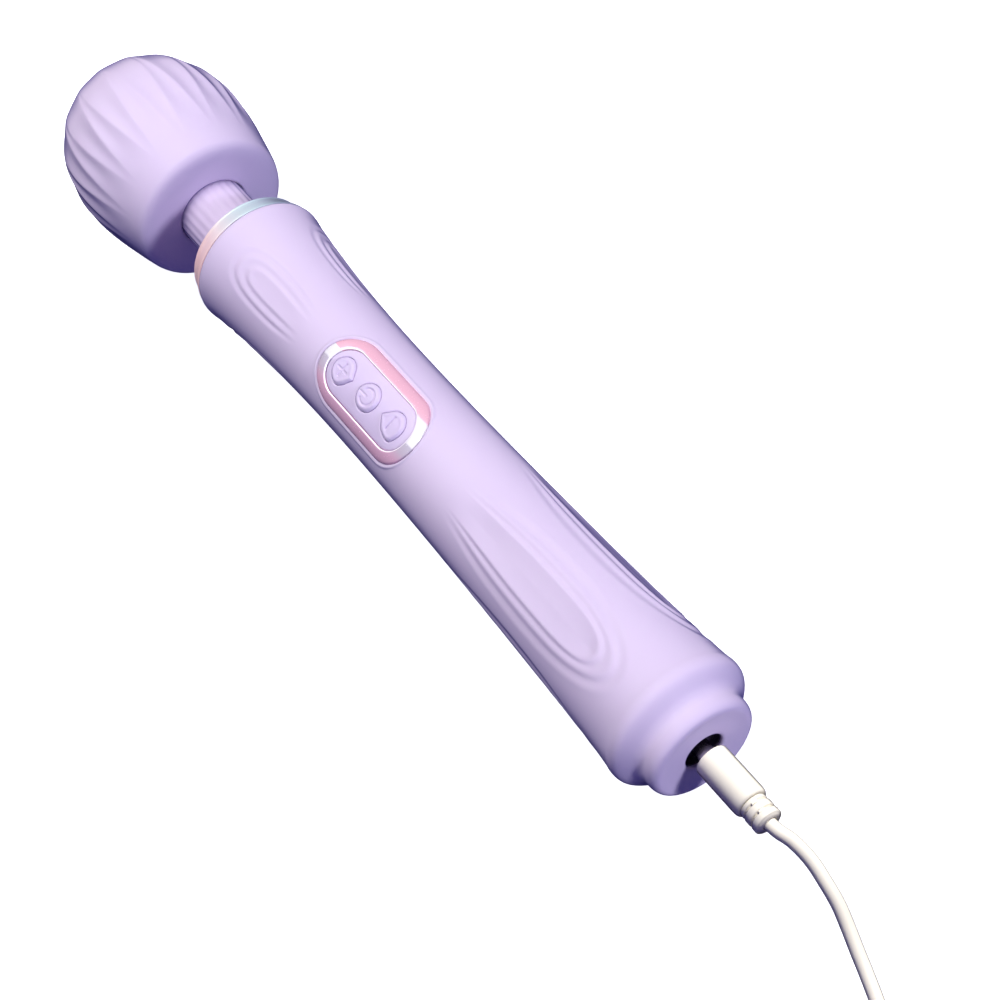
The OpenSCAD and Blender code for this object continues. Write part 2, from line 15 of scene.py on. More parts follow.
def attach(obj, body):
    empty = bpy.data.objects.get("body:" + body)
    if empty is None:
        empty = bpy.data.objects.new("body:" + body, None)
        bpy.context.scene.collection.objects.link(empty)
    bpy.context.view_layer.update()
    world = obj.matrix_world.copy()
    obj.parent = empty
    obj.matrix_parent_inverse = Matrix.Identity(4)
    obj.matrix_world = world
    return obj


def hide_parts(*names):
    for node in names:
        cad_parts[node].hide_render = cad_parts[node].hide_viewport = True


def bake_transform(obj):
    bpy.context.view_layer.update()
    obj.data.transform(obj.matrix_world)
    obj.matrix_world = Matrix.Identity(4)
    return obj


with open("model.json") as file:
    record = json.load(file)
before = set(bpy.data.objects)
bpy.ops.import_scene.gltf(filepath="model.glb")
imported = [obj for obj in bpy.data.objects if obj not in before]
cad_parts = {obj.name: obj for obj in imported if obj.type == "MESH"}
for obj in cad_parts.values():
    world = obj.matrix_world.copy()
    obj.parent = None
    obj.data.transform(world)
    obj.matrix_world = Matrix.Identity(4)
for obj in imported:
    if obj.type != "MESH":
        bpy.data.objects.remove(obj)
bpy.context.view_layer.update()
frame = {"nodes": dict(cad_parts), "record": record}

# Driving dimensions, mm
PANEL_X = 148.8             # middle of the button panel
PANEL_LENGTH = 48.2
PANEL_WIDTH = 22.6
BAND = 3.6                  # width of the trim round the panel
RING_X = 231.4              # where the grip ends and the collar ring begins
HOUSING_TOP = 235.4         # end of the housing under the ring
NECK_MIDDLE = 249.0         # middle of the bend
HEAD_X = 260.0              # base of the head
TIP_X = 334.0


# ------------------------------------------------------------------ mesh helpers
class Shell:
    """Points in mm and faces of one mesh, put together from closed rows of points."""

    def __init__(self):
        self.points = []
        self.faces = []

    def row(self, x, y, z):
        """Adds a row of points and gives back their numbers."""
        first = len(self.points)
        self.points.extend(zip(*np.broadcast_arrays(x, y, z)))
        return list(range(first, len(self.points)))

    def point(self, x, y, z):
        self.points.append((x, y, z))
        return len(self.points) - 1

    def band(self, *rows):
        """Quads between each row and the next."""
        for a, b in zip(rows, rows[1:]):
            n = len(a)
            self.faces += [(a[i], a[(i + 1) % n], b[(i + 1) % n], b[i]) for i in range(n)]

    def fan(self, row, centre, flip=False):
        """Triangles from a row to one point."""
        for start, end in zip(row, row[1:] + row[:1]):
            self.faces.append((end, start, centre) if flip else (start, end, centre))

    def face_out(self):
        """Turns all faces of the closed shell over when its volume is negative."""
        points = np.asarray(self.points, float)
        volume = 0.0
        for first, *rest in self.faces:
            for i, j in zip(rest, rest[1:]):
                volume += float(np.dot(points[first], np.cross(points[i], points[j])))
        if volume <= 0:
            self.faces = [face[::-1] for face in self.faces]


def recalc_normals(mesh):
    bm = bmesh.new()
    bm.from_mesh(mesh)
    bmesh.ops.recalc_face_normals(bm, faces=bm.faces)
    bm.to_mesh(mesh)
    bm.free()
    mesh.update()


def add_piece(name, shell, material, slot=None, body=None, replaces=None, sharp=None, recalc=True):
    """Smooth object from a shell, without its unused points. The slot argument is not used;
    body is the moving part it rides on, sharp an edge angle in degrees."""
    points = np.asarray(shell.points, float)
    used = np.zeros(len(points), bool)
    for face in shell.faces:
        used[list(face)] = True
    number = np.cumsum(used) - 1
    faces = [tuple(int(number[i]) for i in face) for face in shell.faces]
    mesh = bpy.data.meshes.new(name)
    mesh.from_pydata((points[used] * 0.001).tolist(), [], faces)
    mesh.validate()
    mesh.update()
    mesh.polygons.foreach_set("use_smooth", np.ones(len(mesh.polygons), bool))
    piece = bpy.data.objects.new(name, mesh)
    bpy.context.scene.collection.objects.link(piece)
    mesh.materials.append(MATERIALS[material])
    if sharp is not None:
        mesh.set_sharp_from_angle(angle=math.radians(sharp))
    if recalc:
        recalc_normals(mesh)
    if body:
        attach(piece, body)
    if replaces:
        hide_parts(replaces)
    return piece


def smoothstep(start, end, x):
    t = np.clip((np.asarray(x, float) - start) / (end - start), 0, 1)
    return t * t * (3 - 2 * t)


def circle(count):
    """Angles of evenly spaced points round a circle."""
    return np.arange(count) * 2 * math.pi / count


def spline(knots, steps):
    """Catmull-Rom curve through the knots, with this many steps a span."""
    knots = np.asarray(knots, float)
    padded = np.vstack([2 * knots[0] - knots[1], knots, 2 * knots[-1] - knots[-2]])
    curve = []
    for a, b, c, d in zip(padded, padded[1:], padded[2:], padded[3:]):
        for k in range(steps):
            t = k / steps
            curve.append(0.5 * ((2 * b) + (c - a) * t + (2 * a - 5 * b + 4 * c - d) * t * t
                                + (3 * b - a - 3 * c + d) * t ** 3))
    return np.array(curve + [knots[-1]])


def resample(curve, step_at):
    """Points along a polyline, about step_at(point) mm apart."""
    lengths = np.linalg.norm(np.diff(curve, axis=0), axis=1)
    along = np.concatenate([[0], np.cumsum(lengths)])
    middles = (curve[:-1] + curve[1:]) / 2
    steps = lengths / np.array([step_at(point) for point in middles])
    steps_along = np.concatenate([[0], np.cumsum(steps)])
    total = steps_along[-1]
    at = np.interp(np.linspace(0, total, int(round(total)) + 1), steps_along, along)
    return np.stack([np.interp(at, along, column) for column in curve.T], 1)


def lathe(name, profile, sides, material, offset=None, **options):
    """Profile of (x, radius) turned about X. It is closed end to start unless it starts at
    radius 0, which makes a pole. offset(x, angle in degrees, radius) adds to the radius."""
    shell = Shell()
    theta = circle(sides)
    rows = []
    for x, r in profile:
        if r == 0:
            rows.append(shell.point(x, 0, 0))
            continue
        radius = r + (offset(x, np.degrees(theta), r) if offset else 0)
        rows.append(shell.row(x, radius * np.sin(theta), radius * np.cos(theta)))
    if not isinstance(rows[0], int):
        rows.append(rows[0])
    for a, b in zip(rows, rows[1:]):
        if isinstance(a, int):
            shell.fan(b, a, flip=True)
        elif isinstance(b, int):
            shell.fan(a, b)
        else:
            shell.band(a, b)
    shell.face_out()
    return add_piece(name, shell, material, **options)


def sweep(name, curve, radius, sides, material, **options):
    """Round bar with closed ends along a polyline."""
    tangents = np.gradient(curve, axis=0)
    tangents /= np.linalg.norm(tangents, axis=1, keepdims=True)
    up = (0.0, 0, 1) if abs(tangents[0][2]) < 0.9 else (0.0, 1, 0)
    across = np.cross(up, tangents[0])
    shell = Shell()
    rows = []
    angles = circle(sides)
    for centre, tangent in zip(curve, tangents):
        across = across - np.dot(across, tangent) * tangent
        across /= np.linalg.norm(across)
        other = np.cross(tangent, across)
        spokes = np.outer(np.cos(angles), across) + np.outer(np.sin(angles), other)
        rows.append(shell.row(*(centre + radius * spokes).T))
    shell.band(*rows)
    for row, flip in ((rows[0], True), (rows[-1], False)):
        middle = np.mean([shell.points[k] for k in row], axis=0)
        shell.fan(row, shell.point(*middle), flip)
    shell.face_out()
    return add_piece(name, shell, material, **options)


# ------------------------------------------------------------------ material helpers
MATERIALS = {}


def plug(socket, value):
    """Links an input socket to an output, or gives it a plain value."""
    if isinstance(value, bpy.types.NodeSocket):
        socket.id_data.links.new(value, socket)
    else:
        socket.default_value = value


def feed(node, **inputs):
    """Plugs a node's inputs by name, with _ for each space in the socket's name."""
    for name, value in inputs.items():
        plug(node.inputs[name.replace("_", " ")], value)


class Tree:
    """Node tree of a material or world. All calls but add hand back an output socket."""

    def __init__(self, owner):
        owner.use_nodes = True
        self.nodes = owner.node_tree.nodes

    def add(self, kind, **inputs):
        node = self.nodes.new("ShaderNode" + kind)
        feed(node, **inputs)
        return node

    def ramp(self, value, stops):
        """Colour ramp from stops of (position, colour)."""
        node = self.add("ValToRGB", Fac=value)
        elements = node.color_ramp.elements
        for element, (position, colour) in ((elements[0], stops[0]), (elements[1], stops[-1])):
            element.position = position
            element.color = (*colour, 1)
        for position, colour in stops[1:-1]:
            elements.new(position).color = (*colour, 1)
        return node.outputs["Color"]

    def map_range(self, value, to_min, to_max, from_min=0.0, from_max=1.0):
        node = self.add("MapRange", Value=value, From_Min=from_min, From_Max=from_max,
                        To_Min=to_min, To_Max=to_max)
        return node.outputs["Result"]

    def calc(self, operation, *operands):
        node = self.add("Math")
        node.operation = operation
        for socket, value in zip(node.inputs, operands):
            plug(socket, value)
        return node.outputs["Value"]

    def mix(self, factor, colour_a, colour_b):
        node = self.add("Mix")
        node.data_type = "RGBA"
        for index, value in ((0, factor), (6, colour_a), (7, colour_b)):
            plug(node.inputs[index], value)
        return node.outputs[2]


class Shader(Tree):
    """New named material with its surface shader and object coordinates."""

    def __init__(self, name):
        MATERIALS[name] = bpy.data.materials.new(name)
        super().__init__(MATERIALS[name])
        self.surface = self.nodes["Principled BSDF"]
        self.place = self.add("TexCoord").outputs["Object"]

    def noise(self, scale, detail, vector=None):
        vector = self.place if vector is None else vector
        return self.add("TexNoise", Vector=vector, Scale=scale, Detail=detail).outputs["Fac"]

    def two_tone(self, value, colours, low=0.3, high=0.7):
        return self.ramp(value, [(low, colours[0]), (high, colours[1])])

    def roughen(self, value, low, high):
        """Lets the roughness follow a 0 to 1 value."""
        feed(self.surface, Roughness=self.map_range(value, low, high))

    def bump(self, height, strength, distance):
        node = self.add("Bump", Height=height, Strength=strength, Distance=distance)
        feed(self.surface, Normal=node.outputs["Normal"])

    def paint_rim_shade(self, colour, dark, start=0.62, end=1.0):
        """Painted shade: deepens a colour where the surface turns away from the eye."""
        facing = self.add("LayerWeight", Blend=0.5).outputs["Facing"]
        factor = self.map_range(facing, 0.0, 0.95, from_min=start, from_max=end)
        factor.node.interpolation_type = "SMOOTHSTEP"
        return self.mix(factor, colour, (*dark, 1))


def silicone(name, *colours, rough=0.6, specular=0.28):
    """Soft-touch silicone: faint cloudy colour, very fine grain, painted violet shade at the rim.
    """
    shader = Shader(name)
    colour = shader.two_tone(shader.noise(28.0, detail=2.0), colours)
    # painted shade: the colour turns deep violet where the surface turns away from the eye
    colour = shader.paint_rim_shade(colour, dark=(0.10, 0.085, 0.30))
    grain = shader.noise(1900.0, detail=2.0)
    shader.roughen(grain, rough - 0.05, rough + 0.06)
    shader.bump(grain, strength=0.10, distance=0.00006)
    feed(shader.surface, Base_Color=colour, Specular_IOR_Level=specular, Sheen_Weight=0.0,
         Sheen_Roughness=0.5, Sheen_Tint=(0.9, 0.85, 1.0, 1), Subsurface_Weight=0.08,
         Subsurface_Radius=(1.0, 0.75, 1.0), Subsurface_Scale=0.002)


def plastic(name, *colours, rough=0.4, specular=0.5, coat=0.0, grain=0.25, scale=900.0,
            rim=None, rim_shade_range=(0.62, 1.0)):
    """Cloudy two-tone plastic; grain is the bump strength, scale the fineness of the grain, rim
    the colour of painted shade at the rim.
    """
    shader = Shader(name)
    colour = shader.two_tone(shader.noise(45.0, detail=3.0), colours)
    # painted shade: the rim colour darkens the plastic where the surface turns away from the eye
    if rim:
        colour = shader.paint_rim_shade(colour, rim, *rim_shade_range)
    fine = shader.noise(scale, detail=2.0)
    shader.roughen(fine, rough - 0.05, rough + 0.05)
    shader.bump(fine, strength=grain, distance=0.00003)
    feed(shader.surface, Base_Color=colour, Specular_IOR_Level=specular, Coat_Weight=coat,
         Coat_Roughness=0.12)


def brushed(name, *colours, rough=0.3):
    """Metal with fine lines along X."""
    shader = Shader(name)
    stretched = shader.add("Mapping", Vector=shader.place, Scale=(30.0, 900.0, 900.0))
    lines = shader.noise(1.0, detail=3.0, vector=stretched.outputs["Vector"])
    colour = shader.two_tone(lines, colours)
    shader.roughen(lines, rough - 0.07, rough + 0.08)
    shader.bump(lines, strength=0.15, distance=0.00003)
    feed(shader.surface, Base_Color=colour, Metallic=1.0)


def windings():
    """Rows of enamelled wire round X."""
    shader = Shader("windings")
    wave = shader.add("TexWave", Vector=shader.place, Scale=900.0, Distortion=0.3)
    wave.wave_type = "BANDS"
    wave.bands_direction = "X"
    rows = wave.outputs["Fac"]
    colour = shader.two_tone(rows, [(0.35, 0.14, 0.05), (0.78, 0.36, 0.14)], low=0.2, high=0.8)
    shader.bump(rows, strength=0.6, distance=0.0001)
    feed(shader.surface, Base_Color=colour, Metallic=0.6, Roughness=0.35)


def linear(*srgb):
    """sRGB 0-255 to linear."""
    return tuple(c / 255 / 12.92 if c <= 10.3 else ((c / 255 + 0.055) / 1.055) ** 2.4
                 for c in srgb)


# Turn about X (0 and 1 at -Z, 0.25 at -Y, 0.5 at +Z, 0.75 at +Y) and sRGB colour. The mint, cream
# and pink tints are painted pearl reflections, and the grey towards -Y is painted shade.
PEARL_PAINTED_STOPS = [
    (0.0, (225, 205, 230)), (0.25, (150, 155, 178)), (0.345, (160, 172, 186)),
    (0.385, (196, 216, 220)), (0.43, (210, 230, 228)), (0.47, (226, 230, 228)),
    (0.505, (252, 236, 232)), (0.54, (255, 222, 218)), (0.60, (255, 212, 206)),
    (0.67, (252, 212, 212)), (0.75, (244, 212, 226)), (1.0, (225, 205, 230))]


def pearl_ring():
    """Pearl trim whose tint runs with the angle about X: painted reflections, painted shade and a
    painted glow.
    """
    shader = Shader("pearl_ring")
    axes = shader.add("SeparateXYZ", Vector=shader.place).outputs
    angle = shader.calc("ARCTAN2", axes["Y"], axes["Z"])
    wobble = shader.noise(60.0, detail=2.0)
    angle = shader.calc("MULTIPLY_ADD", wobble, 0.02 * 2 * math.pi, angle)
    turn = shader.map_range(angle, 0, 1, from_min=-math.pi, from_max=math.pi)
    colour = shader.ramp(turn, [(at, linear(*srgb)) for at, srgb in PEARL_PAINTED_STOPS])
    shader.roughen(shader.noise(1500.0, detail=2.0), 0.30, 0.38)
    # painted glow for the pearl's reflections, stronger on the pink +Y side
    painted_glow = shader.map_range(axes["Y"], 0.0, 0.16, from_min=0.004, from_max=0.019)
    feed(shader.surface, Base_Color=colour, Metallic=0.0, Coat_Weight=0.35, Coat_Roughness=0.08,
         Emission_Color=(1.0, 0.72, 0.70, 1), Emission_Strength=painted_glow)


def rose_bezel():
    """Rose plating: pink at -Y, a white painted highlight to the middle, a grey painted reflection
    to mauve at +Y, and a pale painted highlight with a painted glow along the inner edge,
    which the "edge" attribute marks."""
    pink, mauve = (0.95, 0.53, 0.63), (0.86, 0.50, 0.66)
    shader = Shader("rose_bezel")
    axes = shader.add("SeparateXYZ", Vector=shader.place).outputs
    wobble = shader.map_range(shader.noise(300.0, detail=2.0), -0.0004, 0.0004)
    y = shader.calc("ADD", axes["Y"], wobble)
    # the white painted highlight is shorter at the end by the head
    head_end = shader.calc("GREATER_THAN", axes["X"], 0.149)
    low_side = shader.calc("LESS_THAN", y, -0.0038)
    both = shader.calc("MULTIPLY", head_end, low_side)
    y = shader.calc("MULTIPLY_ADD", both, -0.0042, y)
    across = shader.map_range(y, 0, 1, from_min=-0.0114, from_max=0.0114)
    # the white stretch is a painted highlight and the grey stretch a painted reflection
    colour = shader.ramp(across, [
        (0.0, pink), (0.165, pink), (0.195, (1.0, 0.98, 0.98)), (0.505, (1.0, 0.99, 0.99)),
        (0.53, (0.62, 0.58, 0.66)), (0.66, (0.66, 0.56, 0.66)), (0.80, mauve), (1.0, mauve)])
    # painted highlight along the inner edge: a paler colour and a painted glow
    attribute = shader.add("Attribute")
    attribute.attribute_name = "edge"
    edge = attribute.outputs["Fac"]
    colour = shader.mix(edge, colour, (1.0, 0.97, 0.97, 1))
    painted_edge_glow = shader.map_range(edge, 0.0, 0.30)
    shader.roughen(shader.noise(1500.0, detail=2.0), 0.22, 0.30)
    feed(shader.surface, Base_Color=colour, Metallic=0.2, Coat_Weight=0.5, Coat_Roughness=0.06,
         Emission_Color=(1.0, 0.98, 0.97, 1), Emission_Strength=painted_edge_glow)


# ------------------------------------------------------------------ materials
# The two colours are the low and high tone of the cloud or line pattern.
silicone("soft_silicone", (0.70, 0.60, 0.76), (0.72, 0.62, 0.775))
silicone("neck_silicone", (0.69, 0.585, 0.76), (0.71, 0.60, 0.775), rough=0.65)
silicone("button_silicone", (0.70, 0.60, 0.79), (0.72, 0.62, 0.805), rough=0.55, specular=0.35)
plastic("hard_shell", (0.70, 0.68, 0.74), (0.76, 0.74, 0.80), rough=0.5)
pearl_ring()
rose_bezel()
# the lead's rim colour is painted dark shade along its outline
plastic("lead_pvc", (0.86, 0.81, 0.66), (0.88, 0.83, 0.69), rough=0.38, specular=0.4, coat=0.12,
        grain=0.06, rim=(0.05, 0.05, 0.035), rim_shade_range=(0.50, 0.86))
brushed("steel", (0.50, 0.50, 0.52), (0.66, 0.66, 0.68))
brushed("nickel", (0.66, 0.65, 0.62), (0.78, 0.77, 0.74), rough=0.2)
brushed("brass", (0.66, 0.48, 0.20), (0.78, 0.60, 0.28), rough=0.3)
windings()
plastic("black_plastic", (0.012, 0.012, 0.016), (0.03, 0.03, 0.038), rough=0.4, grain=0.3)
plastic("black_gloss", (0.012, 0.008, 0.02), (0.03, 0.02, 0.045), rough=0.30, coat=0.3, grain=0.05)
plastic("board", (0.01, 0.10, 0.05), (0.02, 0.17, 0.09), rough=0.35, scale=500.0)
plastic("led_lens", (0.85, 0.88, 0.95), (0.92, 0.94, 1.0), rough=0.12, coat=0.5, grain=0.05)
plastic("cell_wrap", (0.12, 0.20, 0.50), (0.16, 0.26, 0.60), rough=0.3, coat=0.3)
plastic("foam", (0.04, 0.04, 0.05), (0.09, 0.09, 0.10), rough=0.95, specular=0.1, grain=1.0,
        scale=1400.0)
plastic("black_rubber", (0.015, 0.015, 0.017), (0.035, 0.035, 0.04), rough=0.8, specular=0.25,
        grain=0.5)
plastic("wire_red", (0.50, 0.02, 0.015), (0.62, 0.04, 0.03), rough=0.4)
plastic("wire_black", (0.015, 0.015, 0.015), (0.04, 0.04, 0.04), rough=0.4)
plastic("white_plastic", (0.80, 0.80, 0.80), (0.88, 0.88, 0.88), rough=0.35)

slot_of = {part["node"]: part["material_slot"] for part in frame["record"]["subparts"]}
for node_name, node_object in frame["nodes"].items():
    node_object.data.materials.clear()
    node_object.data.materials.append(
        MATERIALS.get(slot_of.get(node_name), MATERIALS["hard_shell"]))

# ------------------------------------------------------------------ handle outline
WAIST_R = 17.95             # handle radius at the middle of the panel
WAIST_START, WAIST_END = 13, 230.5


def handle_r(x):
    """Plain radius of the handle, narrowest at the panel."""
    x = np.asarray(x, float)
    u = np.clip((x - WAIST_START) / (PANEL_X - WAIST_START), 0, 1)
    v = np.clip((x - PANEL_X) / (WAIST_END - PANEL_X), 0, 1)
    tail_side = WAIST_R + 4.55 * (0.85 * (1 - u) ** 1.6 + 0.15 * np.exp(-u / 0.05))
    head_side = WAIST_R + 4.45 * v ** 2.45
    return np.where(x < PANEL_X, tail_side, head_side)


# Outside line of the grip as (x, radius), from the edge of the tail recess to the ring
GRIP_TAIL = spline([
    (1.9, 6.3), (1.35, 6.12), (0.85, 6.08), (0.48, 6.28), (0.26, 6.8), (0.27, 7.6), (0.30, 9.0),
    (0.34, 11.5), (0.20, 13.4), (0.05, 14.7), (0.22, 15.6), (0.95, 16.45), (2.1, 16.98),
    (3.5, 17.2), (4.9, 17.24), (6.2, 17.6), (7.5, 18.5), (8.7, 19.8), (9.8, 21.0), (11.1, 22.0),
    (12.7, 22.42), (14.6, 22.4)], 8)
GRIP_MIDDLE = np.array([(x, handle_r(x)) for x in np.arange(15.6, 226, 1.0)])
GRIP_TOP = spline([
    (226.0, float(handle_r(226.0))), (227.8, 22.12), (229.2, 22.36), (230.3, 22.42),
    (230.95, 22.3), (231.28, 22.02), (RING_X - 0.03, 21.6)], 8)
GRIP_LINE = np.concatenate([GRIP_TAIL[:-1], GRIP_MIDDLE, GRIP_TOP])


# --- relief of the grip: nested rounded ridges round a shallow scoop, four sets a quarter apart
def ridge(x, degrees):
    """Ridge line as (x, mm round the handle) from its angles off the middle of the set."""
    return spline(np.stack([np.asarray(x, float), handle_r(x) * np.radians(degrees)], 1), 6)


# Inner, middle and outer line of each set
TAIL_RIDGES = [
    ridge([33, 33.3, 34.2, 35.6, 37.4, 40, 43, 47, 51, 55, 60, 65, 70, 75, 80, 85, 90, 95, 100,
           108],
          [0, 3.4, 6.6, 9.4, 11.6, 13.3, 14.5, 15.4, 15.8, 15.9, 15.9, 15.8, 15.5, 14.9, 14.1,
           13.4, 12.7, 12.0, 11.4, 10.6]),
    ridge([27, 27.4, 28.6, 30.4, 33, 36, 40, 45, 50, 55, 60, 65, 70, 75, 80, 85, 90, 95, 100,
           108],
          [0, 4.2, 8.4, 12.0, 15.4, 18.2, 21.0, 23.3, 24.3, 24.6, 24.7, 24.5, 24.1, 23.4, 22.4,
           20.9, 19.0, 16.9, 14.8, 12.4]),
    ridge([21.5, 21.9, 23, 25, 28, 32, 36, 40, 45, 50, 55, 60, 65, 70, 75, 80, 85, 90, 95, 100,
           108],
          [0, 5.5, 10.8, 16.4, 21.8, 26.8, 30.4, 33.0, 35.4, 36.8, 37.6, 37.9, 37.7, 37.1, 36.1,
           34.6, 32.2, 29.2, 26.0, 22.6, 17.6])]
HEAD_RIDGES = [
    ridge([213.3, 213.0, 212.2, 210.6, 208.4, 205.5, 202, 198, 194, 190, 186, 180],
          [0, 2.6, 4.9, 6.7, 7.8, 8.3, 8.5, 8.3, 8.0, 7.6, 7.1, 6.6]),
    ridge([218.6, 218.3, 217.3, 215.5, 212.8, 209.4, 205, 200, 195, 190, 186, 180],
          [0, 4.7, 8.8, 12.2, 14.9, 16.6, 17.6, 17.9, 17.4, 16.2, 14.8, 12.4]),
    ridge([222.2, 221.9, 221, 219.2, 216.4, 213, 209, 205, 200, 195, 190, 186, 180],
          [0, 6.6, 12.2, 17.0, 21.0, 23.8, 25.4, 26.1, 26.2, 25.4, 23.4, 21.2, 18.0])]


def signed_distance(x, around, line):
    """Distance in mm from the points (x, around) to a ridge line, and the side they lie on."""
    nearest = np.full(len(around), 1e9)
    sign = np.ones(len(around))
    for start, end in zip(line, line[1:]):
        dx, dy = end - start
        t = ((x - start[0]) * dx + (around - start[1]) * dy) / (dx * dx + dy * dy)
        t = np.clip(t, 0, 1)
        distance = np.hypot(x - (start[0] + t * dx), around - (start[1] + t * dy))
        turn = dx * (around - start[1]) - dy * (x - start[0])
        closer = distance < nearest - 1e-9
        nearest = np.where(closer, distance, nearest)
        sign = np.where(closer, np.sign(turn), sign)
    return nearest, sign


def valley(inner, outer, low=0.42):
    """0 on two ridges and 1 at the lowest place, from the signed distances to both."""
    u = inner / np.maximum(inner - outer, 1e-6)
    turn = np.where(u < low, 0.5 * u / low, 0.5 + 0.5 * (u - low) / (1 - low))
    return 0.5 - 0.5 * np.cos(2 * math.pi * turn)


def ridge_set(x, around, lines, inside, depth, scoop, scoop_width):
    """Height of one set; inside is the sign of the side the scoop lies on."""
    distances = []
    for line in lines:
        distance, sign = signed_distance(x, around, line)
        distances.append(np.where(sign * inside > 0, -distance, distance))
    inner, middle, outer = distances
    crest = 0.10 * depth / 0.6
    height = np.zeros(len(around))
    height = np.where((inner >= 0) & (middle < 0), crest - depth * valley(inner, middle), height)
    height = np.where((middle >= 0) & (outer < 0),
                      crest - depth * valley(middle, outer) * 0.95, height)
    into_scoop = np.clip(-inner / scoop_width, 0, 1)
    height = np.where(inner < 0, crest - scoop * (1 - (1 - into_scoop) ** 2), height)
    return np.where(outer >= 0, crest * np.exp(-(outer / 1.1) ** 2), height)


def relief(x, theta):
    """Height over the plain outline at x, for angles about X in degrees."""
    off_middle = np.abs((theta - 1.2 + 45) % 90 - 45)
    around = handle_r(x) * np.radians(off_middle)
    if 18 < x < 106:
        height = ridge_set(x, around, TAIL_RIDGES, inside=-1, depth=0.355, scoop=0.85,
                           scoop_width=4.9)
        return height * (1 - smoothstep(84, 104, x))
    if 182 < x < 225:
        height = ridge_set(x, around, HEAD_RIDGES, inside=1, depth=0.34, scoop=0.28,
                           scoop_width=2.8)
        return height * smoothstep(183, 196, x)
    return 0


# ------------------------------------------------------------------ grip
GRIP_SIDES = 288
GRIP_SKIN = 1.8
PATCH_LOW, PATCH_HIGH = PANEL_X - 27.6, PANEL_X + 27.6     # ends of the patch round the panel
PATCH_COLUMNS = 38                                         # each side of its middle
PATCH_ROWS = 44


def grip_step(point):
    """Spacing of the outer rows along the grip."""
    x, r = point
    if r < 15.5 and x < 2:
        return 0.55
    for end, step in ((15, 0.45), (106, 1.0), (182, 1.8), (224, 0.95)):
        if x < end:
            return step
    return 0.42


def grip_profiles():
    """Outer and inner profile as (x, radius), each with the rows where the patch begins, ends."""
    def on_handle(x, skin=0.0):
        return [[x, float(handle_r(x)) - skin]]

    def inside(stations, least=0.0):
        line = GRIP_LINE[len(GRIP_TAIL) // 3:]
        return [[x, max(least, float(np.interp(x, line[:, 0], line[:, 1]) - GRIP_SKIN))]
                for x in stations]

    line_x = GRIP_LINE[:, 0]
    patch_x = np.linspace(PATCH_LOW, PATCH_HIGH, PATCH_ROWS + 1)[1:-1]
    patch = np.stack([patch_x, handle_r(patch_x)], 1)
    low = np.concatenate([GRIP_LINE[line_x < PATCH_LOW], on_handle(PATCH_LOW)])
    high = np.concatenate([on_handle(PATCH_HIGH), GRIP_LINE[line_x > PATCH_HIGH]])
    outer = (resample(low, grip_step), patch, resample(high, grip_step))
    low_x = [2.6, 4, 6, 8, 10, 12, 15, *np.arange(22, PATCH_LOW - 3, 8)]
    low = [[1.95, 6.9]] + inside(low_x, least=7.0) + on_handle(PATCH_LOW, GRIP_SKIN)
    high = on_handle(PATCH_HIGH, GRIP_SKIN) + inside(np.arange(PATCH_HIGH + 6, 226, 8))
    high += [[228, 20.45], [230.2, 20.6], [RING_X - 0.03, 20.6]]
    inner = (low, patch - [0, GRIP_SKIN], high)
    return [(np.concatenate(parts), len(parts[0]) - 1, len(parts[0]) + len(patch))
            for parts in (outer, inner)]


def grip_wall(shell, profile, first, last, relieved):
    """Turned wall with the patch left open. Gives its rows and the outline of the opening."""
    sides = GRIP_SIDES
    degrees = np.arange(sides) * (360 / sides)
    theta = np.radians(degrees)
    rows = []
    for x, r in profile:
        radius = r + (relief(x, degrees) if relieved and 14 < x < 226 else 0)
        rows.append(shell.row(x, radius * np.sin(theta), radius * np.cos(theta)))
    for i in range(len(rows) - 1):
        for j in range(sides):
            column = j - sides if j > sides // 2 else j
            if first <= i < last and -PATCH_COLUMNS <= column < PATCH_COLUMNS:
                continue
            k = (j + 1) % sides
            shell.faces.append((rows[i][j], rows[i][k], rows[i + 1][k], rows[i + 1][j]))
    columns = [k % sides for k in range(-PATCH_COLUMNS, PATCH_COLUMNS + 1)]
    outline = [rows[first][k] for k in columns]
    outline += [rows[i][columns[-1]] for i in range(first + 1, last)]
    outline += [rows[last][k] for k in reversed(columns)]
    outline += [rows[i][columns[0]] for i in range(last - 1, first, -1)]
    return rows, outline


